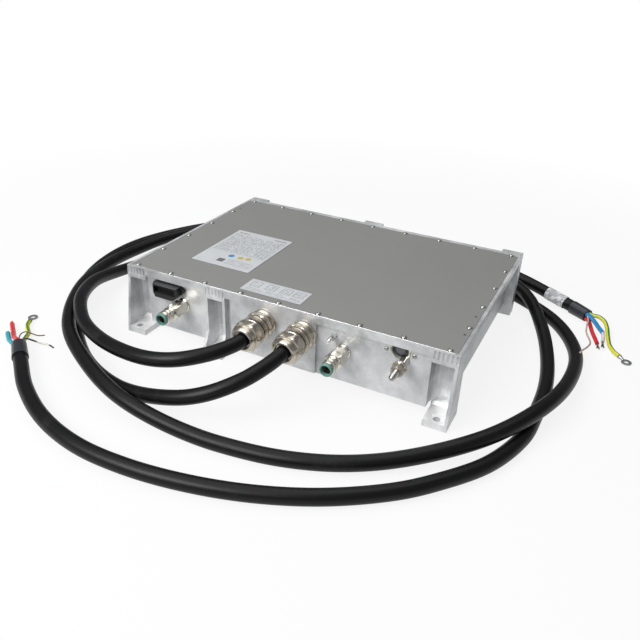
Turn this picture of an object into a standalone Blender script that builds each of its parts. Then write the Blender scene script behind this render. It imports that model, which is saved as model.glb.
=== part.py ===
"""A liquid-cooled battery charger: a flat aluminium case on six legs with a screwed cover.

Sizes are in metres, +Z is up and the feet stand on z = 0. Every piece is modelled in the case's
own frame, where x = 0 and y = 0 are the middle of the cover's screw pattern. An empty carries
that frame, and moves it so that the origin is under the middle of the whole charger.
"""

import math

import bmesh
import bpy
from mathutils import Matrix, Vector

# Driving dimensions of the case
FLANGE_HALF_WIDTH = 0.2240
FLANGE_OVERHANG = 0.0130
FLANGE_FRONT = -0.1500
FLANGE_BACK = 0.1540
FLANGE_TOP = 0.0900
FLANGE_BOTTOM = 0.0835
WALL_HALF_WIDTH = FLANGE_HALF_WIDTH - FLANGE_OVERHANG
WALL_FRONT = -0.1470
WALL_BACK = 0.1500
WALL_THICKNESS = 0.0060
SIDE_THICKNESS = 0.0050
TRAY_BOTTOM = 0.0148
FLOOR_TOP = 0.0320
OPENING_LEDGE = 0.0080
OPENING_HALF_WIDTH = WALL_HALF_WIDTH - OPENING_LEDGE
OPENING_HALF_DEPTH = 0.1310
CORNER_RADIUS = 0.0040
RIM_WIDTH = 0.0040
PAD_THICKNESS = 0.0030
PAD_LEFT = -0.0640
PAD_RIGHT = 0.0540

# Legs, each with a pocket for the screwdriver
FOOT_THICKNESS = 0.0080
FOOT_FRONT = -0.1618
FOOT_BACK = 0.1650
FOOT_HOLE_RADIUS = 0.0043
FOOT_HOLE_FRONT = -0.1535
FOOT_HOLE_BACK = 0.1580
LEG_WIDTH = 0.0290
LEG_SIDE_STEP = 0.0005
WEB_THICKNESS = 0.0035
POCKET_DEPTH_FRONT = -0.1260
POCKET_DEPTH_BACK = 0.1496
POCKET_TOP = 0.0770
POCKET_CORNER = 0.0100
POCKET_ARCH = 0.0070
POCKET_RAMP = 0.0140
COLUMN_WALL = 0.0040
LUG_BACK = 0.1640
LUG_TOP = 0.0927
MIDDLE_LEG_FRONT_X = -0.0867
MIDDLE_LEG_BACK_X = -0.0050
RIB_GAP = 0.0075
TIE_HOLE_RADIUS = 0.0028
TIE_HOLE_DROP = 0.0100
FLUTE_START = 0.0820
FLUTE_RADIUS = 0.0016
FLUTE_PITCH = 0.0050
FLUTE_COUNT = 6

# Cover and its screws
PLATE_GAP = 0.0003
COVER_THICKNESS = 0.0027
COVER_HALF_WIDTH = FLANGE_HALF_WIDTH - RIM_WIDTH - PLATE_GAP
COVER_HALF_DEPTH = 0.1465
COVER_CORNER = 0.0030
SCREW_SPACES_X = 8
SCREW_END_INSET = 0.0092
SCREW_PITCH_X = 2 * (COVER_HALF_WIDTH - SCREW_END_INSET) / SCREW_SPACES_X
SCREW_ROW_Y = COVER_HALF_DEPTH - 0.0036
SCREW_COLUMN_X = COVER_HALF_WIDTH - 0.0045
SCREW_SPACES_Y = 5
SCREW_HEAD_RADIUS = 0.0030
SCREW_HEAD_HEIGHT = 0.0021
SCREW_SHANK_RADIUS = 0.0016
SCREW_DEPTH = 0.0054
SCREW_CLEARANCE = 0.0004
GASKET_WIDTH = 0.0030
GASKET_DEPTH = 0.0020
GASKET_OFFSET = 0.0022

# Coolant jacket under the floor
CHANNEL_WIDTH = 0.0260
CHANNEL_TOP = 0.0275
CHANNEL_FRONT = -0.0850
CHANNEL_BACK = 0.0900
CHANNEL_RUNS = 6
COOLANT_BORE = 0.0055
PASSAGE_Y = -0.1220
GALLERY_RADIUS = 0.0042
GALLERY_Z = 0.0248
BOSS_RADIUS = 0.0110
BOSS_STEP = 0.0004
JACKET_THICKNESS = 0.0027
JACKET_MARGIN = 0.0150
JACKET_CORNER = 0.0100
JACKET_SEAT = 0.0032
JACKET_GASKET_HALF = 0.0025
JACKET_SCREW_RADIUS = 0.0030
JACKET_SCREW_HEIGHT = 0.0018

# Connections on the front wall: places along x and heights above the floor
LEFT_GLAND_X = -0.0160
RIGHT_GLAND_X = 0.0380
GLAND_Z = 0.0660
INLET_X = -0.1370
INLET_Z = 0.0560
OUTLET_X = 0.0890
OUTLET_Z = 0.0565
STUD_X = 0.1630
STUD_Z = 0.0670
STANDOFF_X = 0.0770
STANDOFF_Z = 0.0740
VENT_X = 0.1570
VENT_Z = 0.0788
CONNECTOR_X = -0.1575
CONNECTOR_Z = 0.0725

# Gland parts
GLAND_REACH = 0.0500
GLAND_HEX = 0.0360
GLAND_BASE = 0.0120
GLAND_NECK_RADIUS = 0.0155
GLAND_RIB_RADIUS = 0.0168
GLAND_STUB_RADIUS = 0.0133
GLAND_STUB_END = 0.0395
GLAND_BORE = 0.0110
GLAND_SHANK_RADIUS = 0.0154
GLAND_HOLE_RADIUS = 0.0158
GLAND_SEAL_START = 0.0402
GLAND_SEAL_END = 0.0452
GLAND_SEAL_RADIUS = 0.0124
GLAND_SEAL_BORE = 0.0060
GLAND_NUT_START = 0.0262
GLAND_NUT_SEAT = 0.0398
GLAND_MOUTH_START = 0.0456
GLAND_MOUTH_RADIUS = 0.0102
GLAND_NUT_CLEARANCE = 0.0007
LOCKNUT_HEX = 0.0350
LOCKNUT_POCKET_WIDTH = 0.0430
LOCKNUT_POCKET_TOP = 0.0845
LOCKNUT_THICKNESS = 0.0050

# Coolant fitting
FITTING_REACH = 0.0475
FITTING_HEX = 0.0195
FITTING_HEX_TURN = math.radians(45.0)
FITTING_SHANK_RADIUS = 0.0080
FITTING_HOLE_RADIUS = 0.0084
FITTING_SHANK_DEPTH = 0.0120
FITTING_COLLAR_RADIUS = 0.0082
FITTING_HEX_START = 0.0040
FITTING_COLLAR_LENGTH = 0.0110
RING_LENGTH = 0.0035
RING_START = FITTING_REACH - RING_LENGTH
FITTING_HEX_END = RING_START - FITTING_COLLAR_LENGTH
RING_RADIUS = 0.0080
RING_BORE = 0.0060

# Ground stud
STUD_RADIUS = 0.0039
STUD_SHOULDER_RADIUS = 0.0056
STUD_SHOULDER_END = 0.0140
STUD_REACH = 0.0420
STUD_DEPTH = 0.0110
STUD_HOLE_RADIUS = 0.0043
STUD_BOSS_RADIUS = 0.0100
STUD_SOCKET = 0.0050
WASHER_RADIUS = 0.0082
WASHER_THICKNESS = 0.0018
STUD_NUT_HEX = 0.0130
STUD_NUT_FLANGE_RADIUS = 0.0084
STUD_NUT_LENGTH = 0.0115

# Hex standoff
STANDOFF_HEX = 0.0058
STANDOFF_LENGTH = 0.0190
STANDOFF_TIP = 0.0040
STANDOFF_TIP_RADIUS = 0.0023
STANDOFF_SHANK_RADIUS = 0.0018
STANDOFF_DEPTH = 0.0045

# Vent in its round recess
VENT_RECESS_RADIUS = 0.0100
VENT_RECESS_DEPTH = 0.0040
VENT_HOLE_RADIUS = 0.0050
VENT_SCREW_SPACING = 0.0165
VENT_SCREW_Z = 0.0760

# Signal connector
HEADER_HALF_WIDTH = 0.0180
HEADER_HALF_HEIGHT = 0.0087
HEADER_REACH = 0.0125
HEADER_INSIDE = 0.0160
HEADER_LEFT_CHAMFER = (0.0026, 0.0060)
HEADER_RIGHT_CHAMFER = (0.0060, 0.0064)
HEADER_INSIDE_NARROWING = 0.0070
HEADER_WALL = 0.0016
HEADER_DEPTH = 0.0072
HEADER_FLANGE_THICKNESS = 0.0030
HEADER_FLANGE_HALF_WIDTH = 0.0200
HEADER_EAR_RADIUS = 0.0036
CONTACT_COLUMNS = 7
CONTACT_ROWS = 3
CONTACT_PITCH = 0.0038
CONTACT_WIDTH = 0.0012
CONTACT_HEIGHT = 0.0022
HEADER_SCREW_SPACING = 0.0214
HEADER_SCREW_RISE = 0.0045
SMALL_SCREW_RADIUS = 0.0024
SMALL_SCREW_HEIGHT = 0.0016
SMALL_SCREW_SHANK = 0.0012
SMALL_SCREW_DEPTH = 0.0042

# Labels on the cover: low corner, width and depth
LABEL_THICKNESS = 0.0003
RATING_LABEL = (-0.1635, -0.0920, 0.0890, 0.1180)
HANDLING_LABEL = (-0.0600, -0.1340, 0.0845, 0.0315)

# Cables
CABLE_RADIUS = 0.00875
LEFT_CABLE_STEP = 0.0300
RIGHT_CABLE_STEP = 0.0455
CABLE_CLEARANCE = 0.0004
BOOT_RADIUS = 0.0100
LEFT_BOOT_LENGTH = 0.0320
RIGHT_BOOT_LENGTH = 0.0280
TAG_RADIUS = 0.0096
TAG_PLACE = (0.2830, 0.2100, 0.0130)
TAG_LENGTH = 0.0320
CORE_RADIUS = 0.0031
EARTH_RADIUS = 0.0029
SIGNAL_RADIUS = 0.0012
LUG_RADIUS = 0.0066
LUG_HOLE = 0.0033
LUG_THICKNESS = 0.0016
LUG_BARREL_RADIUS = 0.0031

# Boards and what stands on the case's floor
BOARD_THICKNESS = 0.0016
PILLAR_RADIUS = 0.0040
POWER_BOARD_Z = 0.0440
POWER_BOARD = (-0.1850, -0.0960, 0.0550, 0.1000)
MODULE_SIZE = (0.0420, 0.0300)
CONTROL_BOARD_Z = 0.0720
CONTROL_BOARD = (-0.1800, -0.0900, -0.0450, 0.0450)
SPACER_HEX = 0.0060
TRANSFORMER_SIZE = (0.0460, 0.0480, 0.0420)
TRANSFORMER_WINDING = 0.0300
CHOKE_RADIUS = 0.0240
CHOKE_HOLE = 0.0085
CHOKE_HEIGHT = 0.0240
MAGNETICS_ROWS = (-0.0650, 0.0000, 0.0650)
TRANSFORMER_X = 0.0950
CHOKE_X = 0.1560
CAPACITOR_SIZE = (0.0700, 0.0320, 0.0260)
RELAY_SIZE = (0.0300, 0.0560, 0.0240)
TERMINAL_SIZE = (0.0300, 0.0220, 0.0280)
TERMINAL_Y = -0.1180

WALL_GAP = 0.0003
ROUND_SIDES = 20
SMALL_SIDES = 10
FRONT = Vector((0.0, -1.0, 0.0))
PAD_FACE = WALL_FRONT - PAD_THICKNESS
CASE_SHIFT = (FOOT_BACK - PAD_FACE + GLAND_REACH) / 2 - FOOT_BACK
COVER_BOTTOM = FLANGE_TOP + PLATE_GAP
COVER_TOP = COVER_BOTTOM + COVER_THICKNESS

for old_object in list(bpy.data.objects):
    bpy.data.objects.remove(old_object, do_unlink=True)

parts = bpy.data.collections.new("battery_charger")
cutters = bpy.data.collections.new("cutters")
bpy.context.scene.collection.children.link(parts)
bpy.context.scene.collection.children.link(cutters)

case_frame = bpy.data.objects.new("case_frame", None)
case_frame.location = (0.0, CASE_SHIFT, 0.0)
parts.objects.link(case_frame)


def material(name, colour, metallic, roughness):
    """A plain Principled material of one colour."""
    made = bpy.data.materials.new(name)
    made.use_nodes = True
    shader = made.node_tree.nodes["Principled BSDF"]
    shader.inputs["Base Color"].default_value = (*colour, 1.0)
    shader.inputs["Metallic"].default_value = metallic
    shader.inputs["Roughness"].default_value = roughness
    return made


CAST_ALUMINIUM = material("cast_aluminium", (0.56, 0.57, 0.59), 0.9, 0.42)
COVER_GREY = material("cover_grey", (0.27, 0.27, 0.25), 0.5, 0.55)
NICKEL = material("nickel", (0.66, 0.62, 0.55), 1.0, 0.25)
STEEL = material("steel", (0.60, 0.60, 0.60), 1.0, 0.30)
BLACK_PLASTIC = material("black_plastic", (0.02, 0.02, 0.02), 0.0, 0.45)
BLACK_RUBBER = material("black_rubber", (0.015, 0.015, 0.016), 0.0, 0.55)
GREEN_PLASTIC = material("green_plastic", (0.03, 0.16, 0.13), 0.0, 0.40)
LABEL_WHITE = material("label_white", (0.72, 0.73, 0.76), 0.1, 0.40)
BOARD_GREEN = material("board_green", (0.02, 0.16, 0.06), 0.0, 0.50)
FERRITE = material("ferrite", (0.05, 0.05, 0.055), 0.1, 0.60)
POTTING = material("potting", (0.10, 0.10, 0.12), 0.0, 0.50)
TERMINAL_GREY = material("terminal_grey", (0.30, 0.31, 0.32), 0.0, 0.50)
CORE_RED = material("core_red", (0.62, 0.03, 0.04), 0.0, 0.40)
CORE_BLUE = material("core_blue", (0.03, 0.22, 0.50), 0.0, 0.40)
CORE_EARTH = material("core_earth", (0.55, 0.62, 0.03), 0.0, 0.40)
CORE_BEIGE = material("core_beige", (0.50, 0.42, 0.34), 0.0, 0.50)


def object_from(name, shape):
    """A new object of the shape's mesh, in the case's frame, kept with the cutters until it is a part."""
    mesh = bpy.data.meshes.new(name)
    shape.to_mesh(mesh)
    shape.free()
    made = bpy.data.objects.new(name, mesh)
    cutters.objects.link(made)
    made.parent = case_frame
    made.hide_render = True
    made.display_type = "WIRE"
    return made


def part(made, finish):
    """Moves a finished shape from the cutters to the parts and gives it its material."""
    cutters.objects.unlink(made)
    parts.objects.link(made)
    made.hide_render = False
    made.display_type = "TEXTURED"
    made.data.materials.clear()
    made.data.materials.append(finish)
    made.data.shade_smooth()
    made.data.set_sharp_from_angle(angle=math.radians(35.0))
    return made


def boolean(body, tool, operation):
    """Adds one Boolean step to a body, with the exact solver."""
    step = body.modifiers.new(tool.name, "BOOLEAN")
    step.operation = operation
    step.object = tool


def cut(body, tool):
    boolean(body, tool, "DIFFERENCE")


def join(body, tool):
    boolean(body, tool, "UNION")


def add_box(shape, low, high):
    """Adds a box between two corners to a bmesh."""
    low, high = Vector(low), Vector(high)
    place = Matrix.Translation((low + high) / 2) @ Matrix.Diagonal((*(high - low), 1.0))
    bmesh.ops.create_cube(shape, size=1.0, matrix=place)


def box(name, low, high):
    shape = bmesh.new()
    add_box(shape, low, high)
    return object_from(name, shape)


def boxes(name, corners):
    shape = bmesh.new()
    for low, high in corners:
        add_box(shape, low, high)
    return object_from(name, shape)


def add_rod(shape, start, end, radius, sides, end_radius=None, turn=0.0):
    """Adds a capped cylinder or cone between two points to a bmesh."""
    start, end = Vector(start), Vector(end)
    aim = (end - start).to_track_quat("Z", "Y").to_matrix().to_4x4()
    place = Matrix.Translation((start + end) / 2) @ aim @ Matrix.Rotation(turn, 4, "Z")
    bmesh.ops.create_cone(shape, cap_ends=True, segments=sides, radius1=radius,
                          radius2=radius if end_radius is None else end_radius,
                          depth=(end - start).length, matrix=place)


def rod(name, start, end, radius, sides=ROUND_SIDES, end_radius=None, turn=0.0):
    shape = bmesh.new()
    add_rod(shape, start, end, radius, sides, end_radius, turn)
    return object_from(name, shape)


def rods(name, spans, radius, sides=SMALL_SIDES):
    shape = bmesh.new()
    for start, end in spans:
        add_rod(shape, start, end, radius, sides)
    return object_from(name, shape)


def hex_rod(name, start, end, across_flats, turn=math.radians(30.0)):
    return rod(name, start, end, across_flats / math.sqrt(3.0), 6, turn=turn)


def rounded_rectangle(low_x, low_y, high_x, high_y, radius, steps=3):
    """The corner points of a rectangle with round corners, counter-clockwise."""
    corners = ((high_x - radius, high_y - radius, 0.0), (low_x + radius, high_y - radius, 90.0),
               (low_x + radius, low_y + radius, 180.0), (high_x - radius, low_y + radius, 270.0))
    points = []
    for x, y, first in corners:
        for step in range(steps + 1):
            angle = math.radians(first + 90.0 * step / steps)
            points.append((x + radius * math.cos(angle), y + radius * math.sin(angle)))
    return points


def mesh_of_curve(name, curve):
    """Turns curve data into a closed mesh whose caps are welded to its sides."""
    holder = bpy.data.objects.new(name + "_curve", curve)
    cutters.objects.link(holder)
    bpy.context.view_layer.update()
    evaluated = holder.evaluated_get(bpy.context.evaluated_depsgraph_get())
    mesh = bpy.data.meshes.new_from_object(evaluated)
    shape = bmesh.new()
    shape.from_mesh(mesh)
    bmesh.ops.remove_doubles(shape, verts=shape.verts, dist=0.000001)
    bpy.data.objects.remove(holder, do_unlink=True)
    bpy.data.meshes.remove(mesh)
    return shape


def plate(name, outline, low_z, high_z):
    """A flat outline in plan, filled and raised from one height to another."""
    curve = bpy.data.curves.new(name, "CURVE")
    curve.dimensions = "2D"
    curve.fill_mode = "BOTH"
    curve.extrude = (high_z - low_z) / 2
    spline = curve.splines.new("POLY")
    spline.points.add(len(outline) - 1)
    for point, (x, y) in zip(spline.points, outline):
        point.co = (x, y, 0.0, 1.0)
    spline.use_cyclic_u = True
    shape = mesh_of_curve(name, curve)
    bmesh.ops.translate(shape, verts=shape.verts, vec=(0.0, 0.0, (low_z + high_z) / 2))
    return object_from(name, shape)


def side_plate(name, outline, low_x, high_x):
    """An outline in the plane of y and z, raised along x."""
    made = plate(name, outline, low_x, high_x)
    turn = Matrix(((0, 0, 1, 0), (1, 0, 0, 0), (0, 1, 0, 0), (0, 0, 0, 1)))
    made.data.transform(turn)
    return made


def turned(name, profile, place, direction=FRONT, sides=ROUND_SIDES):
    """A turned shape. The profile is (radius, distance along the axis), from the far end back."""
    mesh = bpy.data.meshes.new(name)
    points = [(radius, 0.0, height) for radius, height in profile]
    closed = profile[0][0] > 0.0
    count = len(points)
    edges = [(i, i + 1) for i in range(count - 1)]
    if closed:
        edges.append((count - 1, 0))
    mesh.from_pydata(points, edges, [])
    made = bpy.data.objects.new(name, mesh)
    cutters.objects.link(made)
    made.parent = case_frame
    made.hide_render = True
    made.display_type = "WIRE"
    made.location = place
    made.rotation_mode = "QUATERNION"
    made.rotation_quaternion = direction.to_track_quat("Z", "Y")
    screw = made.modifiers.new("turn", "SCREW")
    screw.steps = sides
    screw.render_steps = sides
    screw.use_merge_vertices = True
    screw.merge_threshold = 0.000001
    screw.use_normal_calculate = False
    return made


def screw_places():
    """The cover's screws: nine along the front and the back, four more on each side."""
    places = []
    for i in range(SCREW_SPACES_X + 1):
        x = (i - SCREW_SPACES_X / 2) * SCREW_PITCH_X
        places += [(x, -SCREW_ROW_Y), (x, SCREW_ROW_Y)]
    for i in range(1, SCREW_SPACES_Y):
        y = -SCREW_ROW_Y + i * 2 * SCREW_ROW_Y / SCREW_SPACES_Y
        places += [(-SCREW_COLUMN_X, y), (SCREW_COLUMN_X, y)]
    return places


def legs():
    """Every leg: name, low x, high x, side of its web, whether it has a rib on the other side, front or back."""
    outer = FLANGE_HALF_WIDTH - LEG_SIDE_STEP
    inner = outer - LEG_WIDTH
    half = LEG_WIDTH / 2
    return (("front_left", -outer, -inner, -1, False, True),
            ("front_middle", MIDDLE_LEG_FRONT_X - half, MIDDLE_LEG_FRONT_X + half, -1, True, True),
            ("front_right", inner, outer, 1, False, True),
            ("back_left", -outer, -inner, -1, False, False),
            ("back_middle", MIDDLE_LEG_BACK_X - half, MIDDLE_LEG_BACK_X + half, -1, True, False),
            ("back_right", inner, outer, 1, False, False))


def leg_block(name, low_x, high_x, front):
    """The solid a leg is milled from. In front its edge leans out to the foot."""
    if front:
        lean_start = 0.030 if name == "front_middle" else 0.074
        back = POCKET_DEPTH_FRONT + COLUMN_WALL
        edge = WALL_FRONT - PAD_THICKNESS
        outline = [(back, 0.0), (back, FLANGE_BOTTOM + 0.005), (edge, FLANGE_BOTTOM + 0.005),
                   (edge, lean_start), (FOOT_FRONT + 0.001, FOOT_THICKNESS), (FOOT_FRONT, 0.0)]
    else:
        inside = POCKET_DEPTH_BACK - COLUMN_WALL
        outline = [(inside, 0.0), (FOOT_BACK, 0.0), (FOOT_BACK - 0.0005, FOOT_THICKNESS),
                   (LUG_BACK, POCKET_TOP), (LUG_BACK, LUG_TOP), (inside, LUG_TOP)]
    return side_plate(name + "_block", outline, low_x, high_x)


def pocket(name, low_x, high_x, web_side, rib, front, wall=0.0):
    """The pocket of a leg, or with a wall the column that it leaves inside the case."""
    reach = 0.040
    past_edge = WEB_THICKNESS if rib else -0.0015
    low = low_x + (WEB_THICKNESS if web_side < 0 else past_edge) - wall
    high = high_x - (WEB_THICKNESS if web_side > 0 else past_edge) + wall
    if front:
        low_y, high_y = FLANGE_FRONT - reach, POCKET_DEPTH_FRONT + wall
    else:
        low_y, high_y = POCKET_DEPTH_BACK - wall, LUG_BACK + reach
    outline = rounded_rectangle(low, low_y, high, high_y, POCKET_CORNER)
    bottom = -reach if wall else FOOT_THICKNESS
    made = plate(name + ("_column" if wall else "_pocket"), outline, bottom, POCKET_TOP + wall)
    if wall:
        return made
    shape = bmesh.new()
    shape.from_mesh(made.data)
    top_edges = [e for e in shape.edges if all(v.co.z > POCKET_TOP - 0.0001 for v in e.verts)
                 and len(e.link_faces) == 2 and e.calc_face_angle(0.0) > 1.0]
    bmesh.ops.bevel(shape, geom=top_edges, offset=POCKET_ARCH * 0.8, segments=2, profile=0.5,
                    affect="EDGES", clamp_overlap=True)
    shape.to_mesh(made.data)
    shape.free()
    return made


def pocket_ramp(name, low_x, high_x):
    """The round foot of a front pocket's back wall, where the milling cutter leaves a large radius."""
    back, low = POCKET_DEPTH_FRONT, FOOT_THICKNESS
    outline = [(back + 0.001, low - 0.001), (back + 0.001, low + POCKET_RAMP)]
    for step in range(6):
        angle = math.radians(18.0 * step)
        outline.append((back - POCKET_RAMP + POCKET_RAMP * math.cos(angle),
                        low + POCKET_RAMP - POCKET_RAMP * math.sin(angle)))
    outline.append((back - POCKET_RAMP, low - 0.001))
    return side_plate(name + "_ramp", outline, low_x, high_x)


def channel_runs():
    """The middle of each straight run of the coolant channel, inlet first."""
    step = (OUTLET_X - INLET_X) / (CHANNEL_RUNS - 1)
    return [INLET_X + i * step for i in range(CHANNEL_RUNS)]


def jacket_outline(margin):
    """The jacket plate's outline, grown or shrunk from the channel's by a margin."""
    side = CHANNEL_WIDTH / 2 + margin
    return (INLET_X - side, CHANNEL_FRONT - margin, OUTLET_X + side, CHANNEL_BACK + margin)


def jacket_screws():
    """The places of the jacket plate's screws, round its edge."""
    low_x, low_y, high_x, high_y = jacket_outline(JACKET_MARGIN - 0.0050)
    places = []
    for i in range(5):
        x = low_x + (high_x - low_x) * i / 4
        places += [(x, low_y), (x, high_y)]
    for i in (1, 2):
        y = low_y + (high_y - low_y) * i / 3
        places += [(low_x, y), (high_x, y)]
    return places


def pillar_places():
    low_x, low_y, high_x, high_y = POWER_BOARD
    inset = 0.008
    return [(x, y) for x in (low_x + inset, (low_x + high_x) / 2, high_x - inset)
            for y in (low_y + inset, high_y - inset)]


def make_channel_cutter():
    """The serpentine coolant channel: straight runs joined by turns at alternate ends."""
    runs = channel_runs()
    half = CHANNEL_WIDTH / 2
    front = CHANNEL_FRONT
    low = TRAY_BOTTOM + JACKET_THICKNESS
    shape = box("channel", (runs[0] - half, front, low), (runs[0] + half, CHANNEL_BACK, CHANNEL_TOP))
    for i, x in enumerate(runs[1:], start=1):
        run = box(f"channel_run_{i}", (x - half, front, low), (x + half, CHANNEL_BACK, CHANNEL_TOP))
        join(shape, run)
        near = (CHANNEL_BACK - CHANNEL_WIDTH, CHANNEL_BACK) if i % 2 else (front, front + CHANNEL_WIDTH)
        turn = box(f"channel_turn_{i}", (runs[i - 1], near[0], low), (x, near[1], CHANNEL_TOP))
        join(shape, turn)
    return shape


def make_cavity_cutter():
    """The inside of the case: a wide room under the flange, a smaller opening, columns left standing."""
    side = WALL_HALF_WIDTH - SIDE_THICKNESS
    front = WALL_FRONT + WALL_THICKNESS
    back = WALL_BACK - WALL_THICKNESS
    room = plate("cavity", rounded_rectangle(-side, front, side, back, CORNER_RADIUS),
                 FLOOR_TOP, FLANGE_BOTTOM)
    mouth = plate("cavity_mouth", rounded_rectangle(-OPENING_HALF_WIDTH, -OPENING_HALF_DEPTH,
                                                    OPENING_HALF_WIDTH, OPENING_HALF_DEPTH, CORNER_RADIUS),
                  FLANGE_BOTTOM - 0.001, FLANGE_TOP + 0.005)
    join(room, mouth)
    for name, low_x, high_x, web_side, rib, at_front in legs():
        cut(room, pocket(name, low_x, high_x, web_side, rib, at_front, COLUMN_WALL))
    solid_spans = [((x, WALL_FRONT, z), (x, PASSAGE_Y, z)) for x, z in ((INLET_X, INLET_Z), (OUTLET_X, OUTLET_Z))]
    cut(room, rods("passage_boss_level", solid_spans, BOSS_RADIUS, 16))
    upright_spans = [((x, PASSAGE_Y, 0.0), (x, PASSAGE_Y, z + BOSS_RADIUS * 0.92))
                     for x, z in ((INLET_X, INLET_Z), (OUTLET_X, OUTLET_Z))]
    cut(room, rods("passage_boss_upright", upright_spans, BOSS_RADIUS - BOSS_STEP, 16))
    cut(room, rod("stud_boss", (STUD_X, WALL_FRONT, STUD_Z),
                  (STUD_X, WALL_FRONT + STUD_DEPTH + 0.004, STUD_Z), STUD_BOSS_RADIUS, 16))
    pillars = [((x, y, 0.020), (x, y, POWER_BOARD_Z - PLATE_GAP)) for x, y in pillar_places()]
    cut(room, rods("board_pillars", pillars, PILLAR_RADIUS, SMALL_SIDES))
    return room


def make_case():
    """The case: walls, flange and six legs, milled and drilled from one casting."""
    case = plate("case", rounded_rectangle(-WALL_HALF_WIDTH, WALL_FRONT, WALL_HALF_WIDTH, WALL_BACK,
                                           CORNER_RADIUS), TRAY_BOTTOM, FLANGE_BOTTOM + 0.005)
    join(case, plate("flange", rounded_rectangle(-FLANGE_HALF_WIDTH, FLANGE_FRONT, FLANGE_HALF_WIDTH,
                                                 FLANGE_BACK, 0.0015, 2), FLANGE_BOTTOM, COVER_TOP))
    for name, low_x, high_x, web_side, rib, at_front in legs():
        join(case, leg_block(name, low_x, high_x, at_front))
    join(case, box("gland_pad", (PAD_LEFT, PAD_FACE, TRAY_BOTTOM + 0.0005),
                   (PAD_RIGHT, WALL_FRONT + 0.002, FLANGE_BOTTOM + 0.002)))
    cut(case, make_cavity_cutter())
    for name, low_x, high_x, web_side, rib, at_front in legs():
        cut(case, pocket(name, low_x, high_x, web_side, rib, at_front))
        if at_front:
            join(case, pocket_ramp(name, low_x + LEG_SIDE_STEP, high_x - LEG_SIDE_STEP))
    rib_edge = MIDDLE_LEG_FRONT_X + LEG_WIDTH / 2
    cut(case, box("rib_gap", (rib_edge, FLANGE_FRONT - 0.02, 0.005),
                  (rib_edge + RIB_GAP, WALL_FRONT + WALL_THICKNESS - 0.002, FLANGE_BOTTOM)))
    cut_holes(case)
    return part(case, CAST_ALUMINIUM)


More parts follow.
